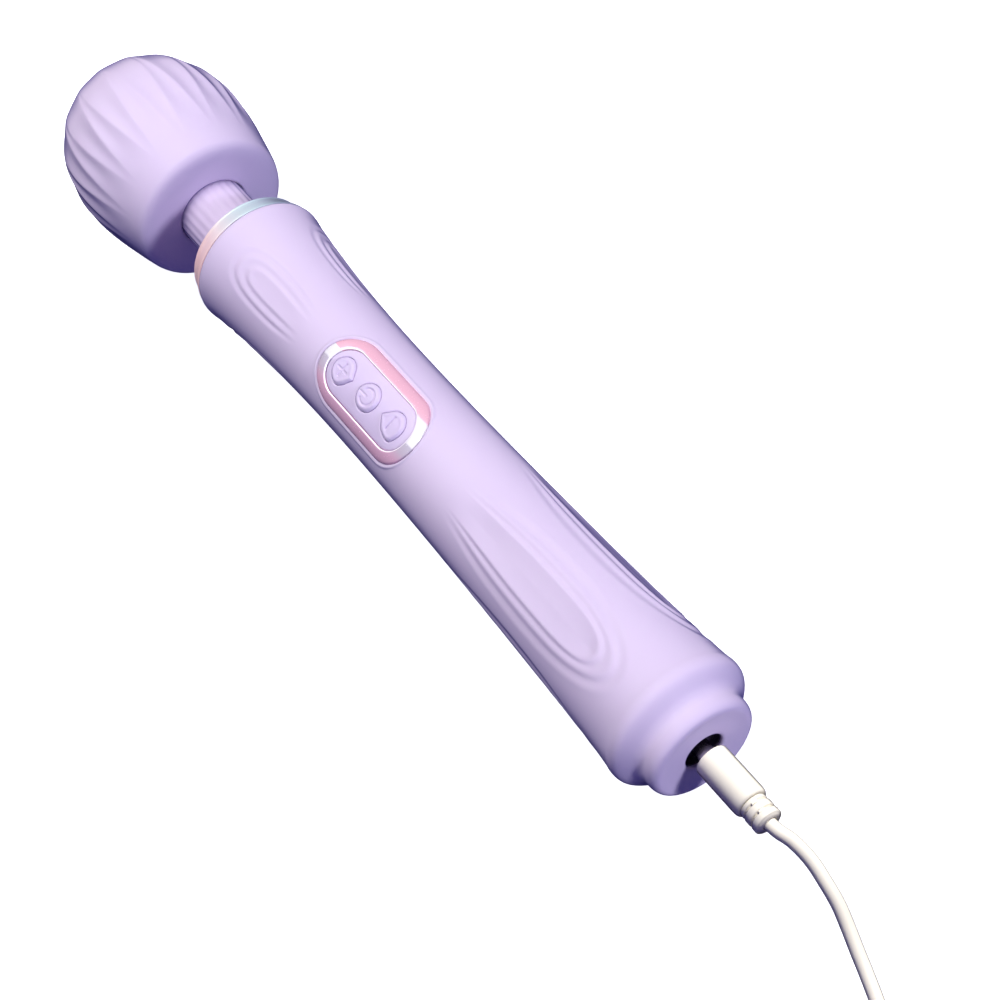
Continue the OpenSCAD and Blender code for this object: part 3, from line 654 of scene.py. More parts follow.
def grip_sleeve():
    """Grip with its relief, its hollow inside and the rounded opening for the panel."""
    shell = Shell()
    outer_profile, inner_profile = grip_profiles()
    outer_rows, outer_outline = grip_wall(shell, *outer_profile, relieved=True)
    inner_rows, inner_outline = grip_wall(shell, *inner_profile, relieved=False)
    shell.band(inner_rows[0], outer_rows[0])
    shell.band(outer_rows[-1], inner_rows[-1])

    # outer patch: loops from the opening out to the open outline of the wall
    half_length, half_width = PANEL_LENGTH / 2 + 0.1, PANEL_WIDTH / 2 + 0.1
    edge_x, edge_y = np.array([shell.points[k] for k in outer_outline])[:, :2].T
    straight = half_length - half_width
    foot = np.clip(edge_x - PANEL_X, -straight, straight)
    reach = np.hypot(edge_x - PANEL_X - foot, edge_y)
    out_x, out_y = (edge_x - PANEL_X - foot) / reach, edge_y / reach
    near = [0.0, 0.06, 0.16, 0.30, 0.46, 0.64, 0.84, 1.06, 1.32, 1.62]
    gaps = [np.full(len(reach), gap) for gap in near]
    gaps += [near[-1] + (reach - half_width - near[-1]) * t for t in (0.3, 0.6)]
    loops = []
    for gap in gaps:
        x = PANEL_X + foot + out_x * (half_width + gap)
        y = out_y * (half_width + gap)
        if not loops:
            hole_x, hole_y = x, y
        radius = handle_r(x)
        theta = np.arcsin(np.clip(y / radius, -1, 1))
        bead = 0.26 * np.exp(-((gap - 0.72) / 0.34) ** 2)
        rolled_edge = 0.34 * np.clip(1 - gap / 0.3, 0, 1) ** 2
        radius = radius + (bead - rolled_edge)
        loops.append(shell.row(x, radius * np.sin(theta), radius * np.cos(theta)))
    shell.band(*loops, outer_outline)

    # inner patch, then the wall of the opening
    edge_x, edge_y = np.array([shell.points[k] for k in inner_outline])[:, :2].T
    inner_loops = []
    for t in (0.0, 0.35, 0.7):
        x = hole_x + (edge_x - hole_x) * t
        y = hole_y + (edge_y - hole_y) * t
        radius = handle_r(x) - GRIP_SKIN
        inner_loops.append(shell.row(x, y, np.sqrt(np.maximum(radius * radius - y * y, 0))))
    shell.band(inner_outline, *reversed(inner_loops))
    shell.band(inner_loops[0], loops[0])
    add_piece("grip_sleeve", shell, "soft_silicone", body="handle", replaces="handle_grip")


grip_sleeve()

# ------------------------------------------------------------------ head cover
# (x, radius) from the rim to the tip, and from the neck opening out to the rim
HEAD_LINE = spline([
    (263.6, 26.15), (267.5, 27.05), (272.6, 28.05), (278.5, 29.1), (285.9, 30.1), (293.3, 30.6),
    (300.7, 30.2), (308, 28.75), (315.4, 25.6), (321.3, 21.4), (326.5, 15.9), (330.1, 10.9),
    (332.6, 6.0), (333.75, 2.4)], 8)
HEAD_RIM = spline([
    (HEAD_X, 12.12), (260.02, 16.5), (260.05, 20.5), (260.35, 22.7), (261.0, 24.3),
    (262.1, 25.5), (263.6, 26.15)], 8)
HEAD_SIDES = 480
HEAD_SKIN = 2.2
PLEAT_DEPTH = 0.62
PLEAT_PITCH = 24.0          # degrees for each pair of ridges


def pleats(x, theta):
    """Thirty ridges, in pairs that lean together towards the tip and part towards the base."""
    half = PLEAT_PITCH / 2
    off_middle = np.abs((theta - 5.0 + half) % PLEAT_PITCH - half)
    gap = np.clip(7.9 + (300.0 - x) * 0.38, 0.0, 22.0)      # degrees between a pair
    fade = smoothstep(266, 292, x) * (1 - 0.45 * smoothstep(292, 312, x))
    fade = fade * (1 - smoothstep(315, 330, x))
    inside = off_middle <= gap / 2
    u = np.where(inside, off_middle / np.maximum(gap, 1e-3), 0.5)
    v = np.where(inside, 0.0, (off_middle - gap / 2) / np.maximum(PLEAT_PITCH - gap, 1e-3))
    inner_depth = np.clip(gap / half, 0, 1.15)
    outer_depth = np.clip((PLEAT_PITCH - gap) / half, 0, 1.25)
    inner_wave = 0.5 + 0.5 * np.cos(2 * math.pi * u)
    outer_wave = 0.5 - 0.5 * np.cos(2 * math.pi * v)
    height = np.where(inside, -inner_depth * inner_wave ** 0.62, -outer_depth * outer_wave ** 0.62)
    return fade * (PLEAT_DEPTH * (height + 0.55))


def head_cover():
    shell = Shell()
    theta = circle(HEAD_SIDES)

    def turned(x, radius):
        return shell.row(x, radius * np.sin(theta), radius * np.cos(theta))

    rim = resample(HEAD_RIM, lambda point: 0.9 if point[1] < 20 else 0.35)
    dome = resample(HEAD_LINE, lambda point: 0.85 if point[1] > 12 else 0.7)
    outer = [turned(x, r + pleats(x, np.degrees(theta)))
             for x, r in np.concatenate([rim[:-1], dome])]
    shell.band(*outer)
    shell.fan(outer[-1], shell.point(TIP_X, 0, 0))
    inner_tip = shell.point(TIP_X - 2.3, 0, 0)
    inner = [turned(x, float(np.interp(x, *HEAD_LINE.T)) - HEAD_SKIN)
             for x in (326.5, 320, 312, 303, 293, 283, 273, 266)]
    inner += [turned(x, r) for x, r in ((263.2, 22.4), (262.2, 20.5), (262.0, 12.12))]
    shell.fan(inner[0], inner_tip, flip=True)
    shell.band(*inner, outer[0])
    add_piece("head_cover_soft", shell, "soft_silicone", body="head", replaces="head_cover")


head_cover()

# ------------------------------------------------------------------ flexible neck
# Every piece is in two halves that meet at the middle of the bend.
NECK_R, NECK_BORE, NECK_FLANGE = 11.72, 9.6, 15.1
SPRING_START, SPRING_END = 234.6, 263.0
SPRING_TURNS, SPRING_R = 9, 8.0


def flutes(x, theta, r):
    """25 fine lengthwise ribs on the outside of the neck."""
    wave = 0.5 + 0.5 * np.cos(np.radians(theta * 25))
    return 0.15 * (wave - 0.4) if r > 11.5 else 0.0


def neck_sleeve(name, start, end, flange):
    """Half of the sleeve; the flange profile goes ahead of the tube's outside."""
    stations = np.linspace(start, end, 25)
    profile = flange + [(x, NECK_R) for x in stations]
    profile += [(x, NECK_BORE) for x in stations[::-1]]
    return profile and lathe(name, profile, 300, "neck_silicone", offset=flutes, sharp=40,
                             replaces="neck_sleeve")


def neck_sleeves():
    """Lower half with its flange under the ring, upper half with its flange in the head."""
    under_ring, in_head = (233.95, HOUSING_TOP - 0.05), (HEAD_X + 2.25, HEAD_X + 3.55)
    lower_x = np.linspace(236.0, NECK_MIDDLE, 25)
    upper_x = np.linspace(NECK_MIDDLE, 261.5, 25)
    lower = [(under_ring[0], NECK_BORE), (under_ring[0], NECK_FLANGE),
             (under_ring[1], NECK_FLANGE), (under_ring[1], NECK_R)]
    lower += [(x, NECK_R) for x in lower_x] + [(x, NECK_BORE) for x in lower_x[::-1]]
    upper = [(x, NECK_BORE) for x in upper_x[::-1]] + [(x, NECK_R) for x in upper_x]
    upper += [(in_head[0], NECK_R), (in_head[0], NECK_FLANGE),
              (in_head[1], NECK_FLANGE), (in_head[1], NECK_BORE)]
    return [lathe("neck_sleeve_" + half, profile, 300, "neck_silicone", offset=flutes, sharp=40,
                  replaces="neck_sleeve")
            for half, profile in (("lower", lower), ("upper", upper))]


del neck_sleeve


def neck_spring(half, start, end):
    pitch_turns = SPRING_TURNS / (SPRING_END - SPRING_START)
    t = np.linspace(0, 1, max(8, int(abs(end - start) * pitch_turns * 30)))
    x = start + (end - start) * t
    angle = 2 * math.pi * (start - SPRING_START) * pitch_turns
    angle = angle + 2 * math.pi * (x - start) * pitch_turns
    helix = np.stack([x, SPRING_R * np.cos(angle), SPRING_R * np.sin(angle)], 1)
    return sweep("neck_spring_" + half, helix, 0.65, 10, "steel", replaces="neck_spring",
                 recalc=False)


def motor_lead(name, start, end, points, y, material):
    line = np.stack([np.linspace(start, end, points), np.full(points, y), np.zeros(points)], 1)
    return sweep("motor_lead_" + name, line, 0.7, 12, material, slot="wire_red",
                 replaces="motor_leads", recalc=False)


neck_pairs = [neck_sleeves(),
              [neck_spring("lower", SPRING_START, NECK_MIDDLE),
               neck_spring("upper", NECK_MIDDLE, SPRING_END)]]
for tag, lead_y, wire in (("a", -2.2, "wire_red"), ("b", 2.2, "wire_black")):
    neck_pairs.append([motor_lead(tag + "_lower", 184, NECK_MIDDLE, 60, lead_y, wire),
                       motor_lead(tag + "_upper", NECK_MIDDLE, 267.3, 30, lead_y, wire)])
for lower, _ in neck_pairs:
    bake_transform(lower)
for _, upper in neck_pairs:
    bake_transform(upper)

# ------------------------------------------------------------------ collar ring
# (x, radius): outside from the grip to the neck, then back along the housing
RING_OUTSIDE = spline([
    (RING_X + 0.06, 20.45), (RING_X + 0.06, 21.5), (RING_X + 0.12, 21.95), (RING_X + 0.4, 22.12),
    (232.6, 21.93), (233.8, 21.47), (235.0, 20.93), (236.2, 20.48), (236.9, 20.3),
    (237.15, 20.36), (237.5, 20.34), (237.8, 20.1), (237.97, 19.7), (238.0, 19.1),
    (237.98, 18.2), (237.9, 17.3), (237.85, 16.75)], 5)
RING_INSIDE = [(HOUSING_TOP + 0.08, 16.75), (HOUSING_TOP + 0.08, 18.72), (233.5, 19.9),
               (232.4, 20.3)]
lathe("collar_trim", [*RING_OUTSIDE, *RING_INSIDE], 256, "pearl_ring", body="handle",
      replaces="collar_ring", recalc=False)

# ------------------------------------------------------------------ button panel
BEZEL_CROWN, PAD_CROWN, BUTTON_CROWN = 18.55, 18.05, 18.9     # radii about X of the top faces
PANEL_SEAT = 13.2                                             # z of the seat under the trim


def stadium(half_length, half_width, side_steps, arc_steps):
    """Stadium round the panel's middle, counter-clockwise from (+x, -y), and its normals."""
    straight = half_length - half_width
    points, normals = [], []
    for end in (1, -1):
        for k in range(arc_steps):
            a = -end * math.pi / 2 + math.pi * k / arc_steps
            points.append((PANEL_X + end * straight + half_width * math.cos(a),
                           half_width * math.sin(a)))
            normals.append((math.cos(a), math.sin(a)))
        for k in range(side_steps):
            points.append((PANEL_X + end * straight - end * 2 * straight * k / side_steps,
                           end * half_width))
            normals.append((0, end))
    return np.array(points), np.array(normals)


# Section of the trim: place across from the outer (0) to the inner edge (1), drop below the crown
BEZEL_SECTION = [
    (0.0, math.inf), (0.0, 1.9), (0.0, 0.62), (0.008, 0.46), (0.03, 0.32), (0.065, 0.22),
    (0.12, 0.15), (0.25, 0.08), (0.4, 0.04), (0.55, 0.02), (0.7, 0.0), (0.82, 0.0), (0.86, 0.02),
    (0.875, 0.04), (0.91, 0.11), (0.95, 0.20), (0.985, 0.29), (0.996, 0.42), (1.0, 0.8),
    (1.0, 1.9), (1.0, math.inf)]


def panel_trim():
    outline, normals = stadium(PANEL_LENGTH / 2, PANEL_WIDTH / 2, 40, 56)
    shell = Shell()
    rows, edge = [], []
    for across, drop in BEZEL_SECTION:
        x, y = (outline - normals * (BAND * across)).T
        z = np.maximum(np.sqrt(BEZEL_CROWN ** 2 - y * y) - drop, PANEL_SEAT + 0.02)
        rows.append(shell.row(x, y, z))
        edge += [float(0.88 < across < 0.99)] * len(x)
    shell.band(*rows, rows[0])
    shell.face_out()
    trim = add_piece("panel_trim", shell, "rose_bezel", body="handle", replaces="panel_bezel")
    attribute = trim.data.attributes.new("edge", "FLOAT", "POINT")
    attribute.data.foreach_set("value", np.array(edge, np.float32))


panel_trim()

# Centre x, radius, reach of the point (None for a round button), direction of the point
BUTTONS = {
    "plus": (162.9, 4.3, 5.15, math.pi),
    "power": (149.4, 4.5, None, 0.0),
    "minus": (135.9, 4.3, 5.7, 0.0),
}


def angle_between(a, b):
    return np.abs((a - b + math.pi) % (2 * math.pi) - math.pi)


def button_radius(kind, angle, grow=0.0):
    """Outline radius of a button at an angle from +X."""
    _, radius, tip, turn = BUTTONS[kind]
    radius += grow
    if tip is None:
        return radius * (1 - 0.035 * np.sin(angle) ** 2)
    tip += grow
    off = angle_between(angle, turn)
    outline = radius / np.cos(np.maximum(0, math.acos(radius / tip) - off))
    soft = tip - 0.42                           # rounds the point
    outline = np.where(off < 0.5, outline - (outline - soft) * np.clip(outline - soft, 0, 1) * 0.6,
                       outline)
    # the +Y side is squarer
    corner, swell = (114.0, 0.62) if kind == "minus" else (96.0, 0.35)
    return outline + swell * np.exp(-(angle_between(angle, np.radians(corner)) / 0.42) ** 2)


PAD_GAP = 0.08              # round the pad, inside the trim
PAD_HALF_LENGTH = (PANEL_LENGTH - 2 * BAND - 2 * PAD_GAP) / 2
PAD_HALF_WIDTH = (PANEL_WIDTH - 2 * BAND - 2 * PAD_GAP) / 2
PAD_BOTTOM = 14.25
HOLE_GAP = 0.15             # round each button


def pad_inset(x, y):
    """Distance in from the outline of the pad."""
    straight = PAD_HALF_LENGTH - PAD_HALF_WIDTH
    foot = min(max(x - PANEL_X, -straight), straight)
    return PAD_HALF_WIDTH - math.hypot(x - PANEL_X - foot, y)


def button_gap(x, y, grow):
    """Distance along the spoke to the nearest button's grown outline, negative inside it."""
    return min(math.hypot(x - button[0], y)
               - float(button_radius(kind, math.atan2(y, x - button[0]), grow))
               for kind, button in BUTTONS.items())


def pad_height(x, y):
    """Crowned top with rolled edges."""
    z = math.sqrt(PAD_CROWN ** 2 - y * y)
    z -= 0.42 * max(0, 1 - pad_inset(x, y) / 0.5) ** 2
    return z - 0.26 * max(0, 1 - button_gap(x, y, HOLE_GAP) / 0.42) ** 2


def button_pad():
    """Silicone pad with three openings, triangulated between its outlines."""
    points, edges = [], []

    def add_loop(loop):
        first, n = len(points), len(loop)
        points.extend(Vector((float(x), float(y))) for x, y in loop)
        edges.extend((first + i, first + (i + 1) % n) for i in range(n))

    outline, normals = stadium(PAD_HALF_LENGTH, PAD_HALF_WIDTH, 48, 40)
    for inset in (0.0, 0.12, 0.3, 0.55):
        add_loop(outline - normals * inset)
    angle = circle(96)
    for kind in ("minus", "power", "plus"):
        for grow in (HOLE_GAP, 0.24, 0.42, 0.66):
            radius = button_radius(kind, angle, grow)
            add_loop(np.stack([BUTTONS[kind][0] + radius * np.cos(angle),
                               radius * np.sin(angle)], 1))
    # plain grid of points away from the outlines
    for x in np.arange(PANEL_X - PAD_HALF_LENGTH + 0.5, PANEL_X + PAD_HALF_LENGTH, 0.7):
        for y in np.arange(-PAD_HALF_WIDTH + 0.5, PAD_HALF_WIDTH, 0.7):
            if pad_inset(x, y) >= 0.8 and button_gap(x, y, 0.9) >= 0:
                points.append(Vector((x, y)))
    flat, _, triangles, *_ = delaunay_2d_cdt(points, edges, [], 0, 1e-5)
    flat = np.array([(point.x, point.y) for point in flat])
    top = []
    for triangle in triangles:
        x, y = flat[list(triangle)].mean(0)
        if pad_inset(x, y) > -1e-6 and button_gap(x, y, HOLE_GAP) >= -1e-4:
            top.append(tuple(triangle))
    shell = Shell()
    shell.points = [(x, y, pad_height(x, y)) for x, y in flat]
    shell.points += [(x, y, PAD_BOTTOM) for x, y in flat]
    n = len(flat)
    shell.faces = top + [tuple(n + k for k in reversed(face)) for face in top]
    # walls where a top edge has no neighbour
    directed = dict.fromkeys(pair for face in top for pair in zip(face, face[1:] + face[:1]))
    shell.faces += [(b, a, n + a, n + b) for a, b in directed if (b, a) not in directed]
    add_piece("button_pad_soft", shell, "button_silicone", body="handle", replaces="button_pad")


button_pad()


def segment_distance(x, y, ax, ay, bx, by):
    dx, dy = bx - ax, by - ay
    t = np.clip(((x - ax) * dx + (y - ay) * dy) / (dx * dx + dy * dy), 0, 1)
    return np.hypot(x - ax - t * dx, y - ay - t * dy)


def engraving(kind, x, y):
    """Depth of the sign engraved in a button."""
    width, depth = 0.42, 0.32
    if kind == "plus":
        distance = np.minimum(segment_distance(x, y, -2.0, 0, 2.0, 0),
                              segment_distance(x, y, 0, -2.0, 0, 2.0))
    elif kind == "minus":
        depth = 0.40
        distance = segment_distance(x, y, 0.7, -2.1, 0.7, 2.1)
    else:
        width, ring, gap = 0.38, 2.55, math.radians(40)
        end_x, end_y = ring * math.cos(gap), ring * math.sin(gap)
        to_ends = np.minimum(np.hypot(x - end_x, y - end_y), np.hypot(x - end_x, y + end_y))
        distance = np.where(np.abs(np.arctan2(y, x)) < gap, to_ends,
                            np.abs(np.hypot(x, y) - ring))
        distance = np.minimum(distance, segment_distance(x, y, 0.3, 0, 3.3, 0))
    return depth * (1 - smoothstep(width * 0.35, width * 1.35, distance))


def button_cap(kind):
    """Crowned cap with a soft dish, its sign, and a short post on the underside."""
    centre_x = BUTTONS[kind][0]
    angle = circle(168)
    cos, sin = np.cos(angle), np.sin(angle)
    outline = button_radius(kind, angle)
    shell = Shell()
    rows = []
    for part in np.concatenate([np.linspace(0.02, 0.8, 32), np.linspace(0.82, 1.0, 14)]):
        x, y = part * outline * cos, part * outline * sin
        inset = (1 - part) * outline
        z = np.sqrt(BUTTON_CROWN ** 2 - y ** 2) - 0.10
        z -= 0.78 * np.clip(1 - inset / 1.25, 0, 1) ** 2.0      # rounded edge
        z -= 0.20 * smoothstep(0.7, 2.1, inset)                 # dish
        z -= engraving(kind, x, y)
        rows.append(shell.row(centre_x + x, y, z))
    base, post_end = 14.95, 13.97
    side = shell.row(centre_x + outline * cos, outline * sin, base)
    middle_z = float(np.mean([shell.points[k][2] for k in rows[0]]))
    shell.fan(rows[0], shell.point(centre_x, 0, middle_z))
    post = [shell.row(centre_x + radius * cos, radius * sin, z)
            for radius, z in ((2.6, base), (2.0, base), (2.0, post_end))]
    shell.band(*rows, side, *post)
    shell.fan(post[-1], shell.point(centre_x, 0, post_end), flip=True)
    add_piece(f"button_{kind}_cap", shell, "button_silicone", sharp=50, body=kind + "_button",
              replaces="button_" + kind)


for kind in BUTTONS:
    button_cap(kind)

# ------------------------------------------------------------------ plug and boot of the lead
PLUG_PROFILE = [
    *spline([(-2.5, 3.0), (-2.5, 4.2), (-2.5, 4.75), (-2.58, 5.0), (-2.8, 5.12), (-3.2, 5.16),
             (-4.6, 5.18), (-9, 5.2), (-14, 5.2), (-17.4, 5.2), (-18.6, 5.16), (-19.3, 5.02),
             (-19.75, 4.75), (-19.95, 4.4), (-20.0, 3.9), (-20.0, 2.2)], 5),
    (-11.5, 2.2), (-11.5, 2.85), (-4.6, 2.85)]
lathe("plug_grip", PLUG_PROFILE, 96, "lead_pvc", body="charging_lead", replaces="plug_body",
      recalc=False)


def boot_rib(start, end, r, e):
    """Profile of one thick rib from start towards the cable; e is the size of its corners."""
    corner = [(0, r - 2.2 * e), (0.3 * e, r - 0.9 * e), (e, r - 0.15 * e), (1.8 * e, r)]
    return [(start - x, y) for x, y in corner] + [(end + x, y) for x, y in corner[::-1]]


def boot_bridges(x, theta, r):
    """Fills the two grooves of the boot at two bridges opposite one another."""
    if not (3.45 < r < 3.86 and -24.9 < x < -21.3):
        return 0.0
    off = np.abs((theta + 22.0 + 90.0) % 180.0 - 90.0)
    return (4.16 - r) * (1 - smoothstep(12.0, 17.0, off))


BOOT_PROFILE = [
    (-20.06, 2.2), *boot_rib(-20.08, -21.36, 4.2, 0.16),
    (-21.42, 3.8), (-21.6, 3.5), (-21.84, 3.5), (-21.96, 3.8), *boot_rib(-22.0, -24.2, 4.3, 0.18),
    (-24.26, 3.8), (-24.4, 3.5), (-24.62, 3.5), (-24.74, 3.8), *boot_rib(-24.8, -27.0, 4.35, 0.3),
    (-27.12, 3.6), (-27.3, 3.2), (-27.4, 2.7), (-27.4, 2.2)]
lathe("strain_relief_boot", BOOT_PROFILE, 240, "lead_pvc", offset=boot_bridges, sharp=48,
      body="charging_lead", replaces="strain_relief", recalc=False)

# ------------------------------------------------------------------ charging cord
FLOOR_SLOPE = (30.7 - 22.5) / 280.0
CORD_R = 2.05
LIE = CORD_R + 0.3          # height of the cord's middle over the floor
COIL_START, COIL_END = 246.7, -270      # degrees


def floor_z(x):
    return -22.5 - (x - 13.0) * FLOOR_SLOPE


def coil_point(angle):
    """Point of the coil on the floor; its last 45 degrees come down from above the floor."""
    radius = 31 - 4.7 * (COIL_START - angle) / 360
    x = -92.8 + radius * math.cos(math.radians(angle))
    y = 55.1 + radius * math.sin(math.radians(angle))
    lift = 4.5 * (1 - (angle - COIL_END) / 45) if angle < COIL_END + 45 else 0
    return [x, y, floor_z(x) + LIE + lift]


_, USB_Y, COIL_END_Z = coil_point(COIL_END)
USB_X = -58.0
USB_Z = floor_z(USB_X) + 4.4

# x, y, z from the plug down to the floor, round the coil and into the far plug
CORD_KNOTS = [
    [-5, 0, 0], [-12, 0, 0], [-18, 0, 0], [-24, 0, 0], [-27.6, 0, 0], [-30.6, -0.3, -0.4],
    [-34.5, -1, -2.2], [-40.5, -0.6, -5.1], [-46.7, 1.1, -8], [-52, 3, -10.7],
    [-57.2, 5.6, -13.1], [-63, 8.5, -15.1], [-68.1, 10.8, -16.4],
    [-76, 14.2, floor_z(-76) + LIE + 0.3], [-86, 18.6, floor_z(-86) + LIE],
    [-96, 22.9, floor_z(-96) + LIE],
    *[coil_point(COIL_START + (COIL_END - COIL_START) * k / 18) for k in range(19)],
    [-84, USB_Y, COIL_END_Z], [-77, USB_Y, COIL_END_Z], [-72, USB_Y, (COIL_END_Z + USB_Z) / 2],
    *[[USB_X + x, USB_Y, USB_Z] for x in (-9.5, -6.5, -2, 2, 6)]]
sweep("charging_cord", resample(spline(CORD_KNOTS, 10), lambda point: 0.8), CORD_R, 20,
      "lead_pvc", body="charging_lead", replaces="charging_cable")

# ------------------------------------------------------------------ far plug
# Stations: x, half width, half height, exponent of the rounded section
USB_STATIONS = [
    (-5.0, 2.35, 2.35, 2.0), (-4.9, 2.9, 2.8, 2.1), (-4.5, 3.35, 3.0, 2.3),
    (-3.8, 3.7, 3.12, 2.5), (-2.0, 3.9, 3.2, 2.6), (-0.8, 4.15, 3.25, 2.7), (0.0, 5.2, 3.45, 3.0),
    (0.5, 6.4, 3.7, 3.6), (1.2, 7.25, 3.88, 4.4), (2.2, 7.65, 3.97, 5.2), (3.2, 7.8, 4.0, 5.8),
    *[(4.4 + 1.9 * k + x, width, height, 6.0) for k in range(5) for x, width, height in
      ((0, 7.8, 4.0), (0.35, 7.62, 3.98), (0.75, 7.5, 3.97), (1.15, 7.62, 3.98))],
    (14.4, 7.8, 4.0, 6.0), (18, 7.8, 4.0, 6.0), (20.6, 7.79, 3.99, 6.0), (21.5, 7.66, 3.9, 6.0),
    (21.86, 7.45, 3.7, 6.0), (22.0, 7.15, 3.4, 6.0)]


def usb_plug():
    """Rounded bar that narrows to a neck, with shallow ribs on both flanks."""
    shell = Shell()
    angle = circle(96)
    cos, sin = np.cos(angle), np.sin(angle)

    def section(x, y, z):
        return shell.row(USB_X + x, USB_Y + y, USB_Z + z)

    rows = [section(x, width * np.sign(cos) * np.abs(cos) ** (2 / power),
                    height * np.sign(sin) * np.abs(sin) ** (2 / power))
            for x, width, height, power in USB_STATIONS]
    # square pocket for the metal shell
    to_square = 1 / np.maximum(np.abs(cos), np.abs(sin))
    square_y = np.clip(cos * to_square, -1, 1) * 6.06
    square_z = np.clip(sin * to_square, -1, 1) * 2.31
    pocket = [section(x, square_y, square_z) for x in (22.0, 14.0)]
    shell.band(*rows, *pocket)
    shell.fan(pocket[-1], shell.point(USB_X + 14.0, USB_Y, USB_Z))
    # round hole for the cord
    hole = [section(x, 2.15 * cos, 2.15 * sin) for x in (-5.0, 7.0)]
    shell.band(hole[1], hole[0], rows[0])
    shell.fan(hole[1], shell.point(USB_X + 7.0, USB_Y, USB_Z), flip=True)
    add_piece("usb_plug_grip", shell, "lead_pvc", sharp=40, body="charging_lead",
              replaces="usb_overmold")


usb_plug()

# ------------------------------------------------------------------ charging socket in the tail
SOCKET_PROFILE = [
    (14.02, 0.0), (14.02, 2.7), (13.9, 2.87), (4.7, 2.87), (4.45, 2.92), (4.3, 3.05),
    (4.24, 3.3), (4.24, 3.75), (4.34, 3.95), (4.55, 4.1), (4.6, 4.4), (4.6, 5.7), (4.5, 5.98),
    (4.34, 6.2), (4.24, 6.4), (4.22, 6.6), (4.22, 7.98), (5.65, 7.98), (5.68, 5.8), (16.9, 5.8),
    (16.98, 5.6), (16.98, 0.0)]
lathe("charging_socket", SOCKET_PROFILE, 96, "black_gloss", slot="black_plastic", sharp=35,
      body="handle", replaces="charging_jack")
# wall of the recess, between the skin and the socket's face; its black gloss also stands in as
# painted shade for the dark inside the recess
RECESS_PROFILE = [(1.95, 6.44), (1.935, 6.24), (2.1, 6.12), (2.8, 6.09), (3.6, 6.09),
                  (3.92, 6.14), (4.08, 6.26), (4.12, 6.44)]
lathe("recess_wall", RECESS_PROFILE, 96, "black_gloss", slot="black_plastic", sharp=50,
      body="handle")


# ------------------------------------------------------------------ stage, lights, camera
def sloping_floor(half=3.0):
    """White floor that follows the line from the grip's tail to the head."""
    mesh = bpy.data.meshes.new("floor")
    corners = [(x, y, floor_z(x * 1000) * 0.001 - 0.0002)
               for x, y in ((-half, -half), (half, -half), (half, half), (-half, half))]
    mesh.from_pydata(corners, [], [(0, 1, 2, 3)])
    floor = bpy.data.objects.new("floor", mesh)
    bpy.context.scene.collection.objects.link(floor)
    paper = bpy.data.materials.new("floor_paper")
    feed(Tree(paper).nodes["Principled BSDF"], Base_Color=(0.9, 0.9, 0.9, 1), Roughness=0.9,
         Specular_IOR_Level=0.0, Emission_Color=(1, 1, 1, 1), Emission_Strength=0.97)
    mesh.materials.append(paper)
    floor.visible_diffuse = False
    floor.visible_glossy = False


def studio_world():
    """White to the camera, dark to bright from below up in reflections, violet otherwise."""
    world = bpy.data.worlds.new("studio")
    bpy.context.scene.world = world
    tree = Tree(world)
    tree.nodes.clear()
    output = tree.add("OutputWorld")
    rays = tree.add("LightPath").outputs
    ambient = tree.add("Background", Color=(0.17, 0.155, 0.60, 1), Strength=0.36)
    seen = tree.add("Background", Color=(1, 1, 1, 1))
    reflected = tree.add("Background")
    direction = tree.add("TexCoord").outputs["Generated"]
    z = tree.add("SeparateXYZ", Vector=direction).outputs["Z"]
    height = tree.map_range(z, 0.0, 1.0, from_min=-1, from_max=1)
    feed(reflected, Color=tree.ramp(height, [(0.45, (0.012, 0.010, 0.03)),
                                             (0.95, (0.75, 0.72, 0.78))]))
    shade = ambient.outputs[0]
    for ray, background in (("Is Glossy Ray", reflected), ("Is Camera Ray", seen)):
        mix = tree.add("MixShader")
        for socket, value in zip(mix.inputs, (rays[ray], shade, background.outputs[0])):
            plug(socket, value)
        shade = mix.outputs[0]
    feed(output, Surface=shade)


def area_light(name, direction, distance, size, power, colour, target):
    """Square light that faces its target from a direction."""
    direction = Vector(direction).normalized()
    data = bpy.data.lights.new(name, "AREA")
    data.shape = "RECTANGLE"
    data.size = data.size_y = size
    data.energy = power
    data.color = colour
    light = bpy.data.objects.new(name, data)
    bpy.context.scene.collection.objects.link(light)
    light.location = Vector(target) + direction * distance
    light.rotation_mode = "QUATERNION"
    light.rotation_quaternion = direction.to_track_quat("Z", "Y")
    return light


def around_x(degrees, along):
    """Direction at an angle about X that leans along X."""
    theta = math.radians(degrees)
    return (along, math.sin(theta), math.cos(theta))


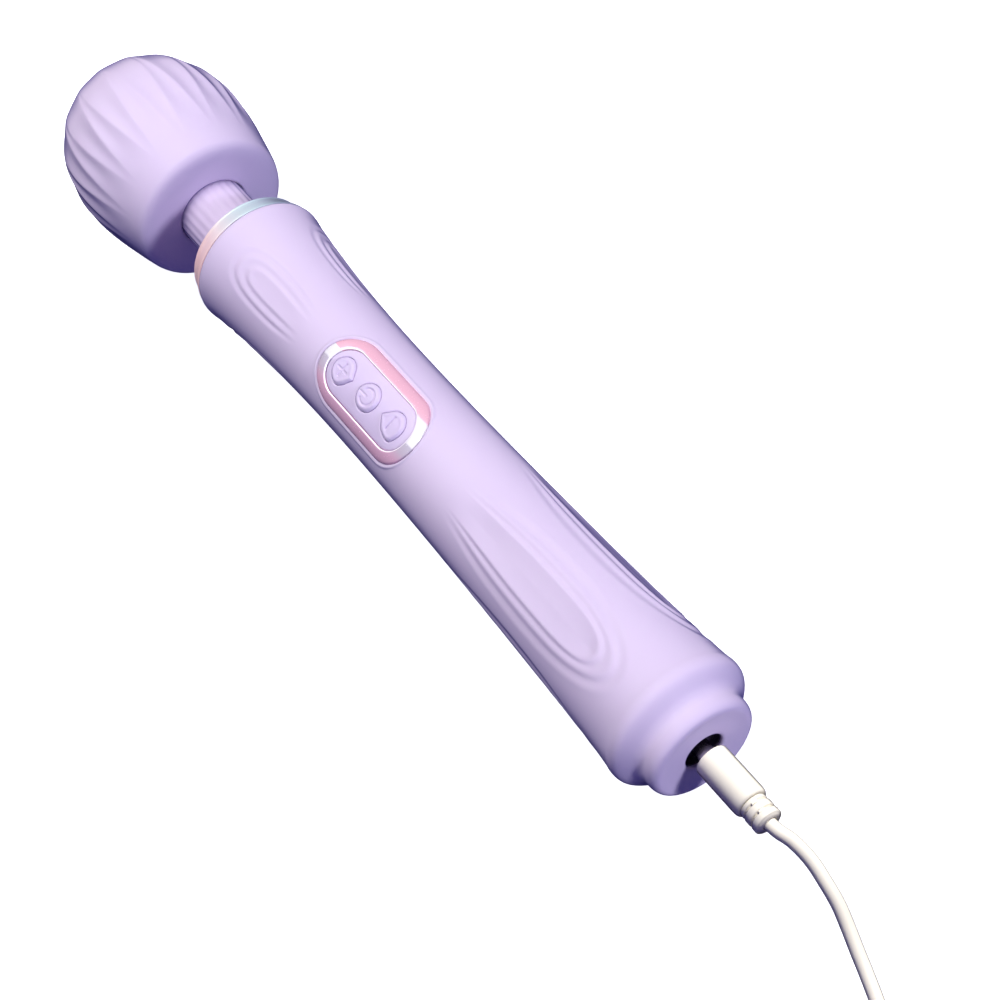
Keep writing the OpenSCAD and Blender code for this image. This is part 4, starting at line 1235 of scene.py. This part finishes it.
def link_light(light, receivers, state):
    """Restricts a light to some objects (INCLUDE) or keeps it off them (EXCLUDE)."""
    group = bpy.data.collections.new(light.name + "_receivers")
    for receiver in receivers:
        group.objects.link(receiver)
    light.light_linking.receiver_collection = group
    for member in group.collection_objects:
        member.light_linking.link_state = state


def lights():
    """Key and fill for the wand, and a separate key for the lead."""
    key = area_light("key", around_x(-20.5, along=0.24), distance=1.6, size=0.8, power=25.6,
                     colour=(1.0, 0.975, 0.925), target=(0.14, 0.02, 0.0))
    fill = area_light("fill", (-1.0, -0.52, 0.34), distance=2.2, size=0.29, power=25.2,
                      colour=(0.84, 0.84, 1.06), target=(0.1, 0.0, 0.0))
    lead_key = area_light("lead_key", around_x(-52, along=0.0), distance=1.6, size=0.5,
                          power=41.0, colour=(1.0, 0.99, 0.97), target=(-0.02, 0.0, 0.0))
    lead = [piece for piece in bpy.context.scene.objects
            if piece.type == "MESH" and piece.data.materials
            and piece.data.materials[0] == MATERIALS["lead_pvc"]]
    link_light(key, lead, "EXCLUDE")
    link_light(fill, lead, "EXCLUDE")
    link_light(lead_key, lead, "INCLUDE")


def camera():
    data = bpy.data.cameras.new("camera")
    data.lens = 86.4
    data.sensor_width = 36.0
    data.clip_start = 0.02
    data.clip_end = 50
    view = bpy.data.objects.new("camera", data)
    bpy.context.scene.collection.objects.link(view)
    pitch, roll = math.radians(32.892), math.radians(42.494)
    about_x = Matrix.Rotation(math.radians(10.3), 3, "X")
    distance, sideways, aim_x = 0.69506, 0.00512, 0.1031
    forward = Vector((math.sin(pitch), 0, -math.cos(pitch)))
    up = Vector((math.cos(pitch), 0, math.sin(pitch)))
    right = forward.cross(up)
    axis_x = math.cos(roll) * right - math.sin(roll) * up
    axis_y = math.sin(roll) * right + math.cos(roll) * up
    rotation = about_x @ Matrix((axis_x, axis_y, -forward)).transposed()
    place = about_x @ (-distance * forward + sideways * right) + Vector((aim_x, 0, 0))
    view.matrix_world = Matrix.Translation(place) @ rotation.to_4x4()
    bpy.context.scene.camera = view


sloping_floor()
studio_world()
lights()
camera()
bpy.context.scene.view_settings.view_transform = "Standard"
bpy.context.scene.view_settings.look = "None"
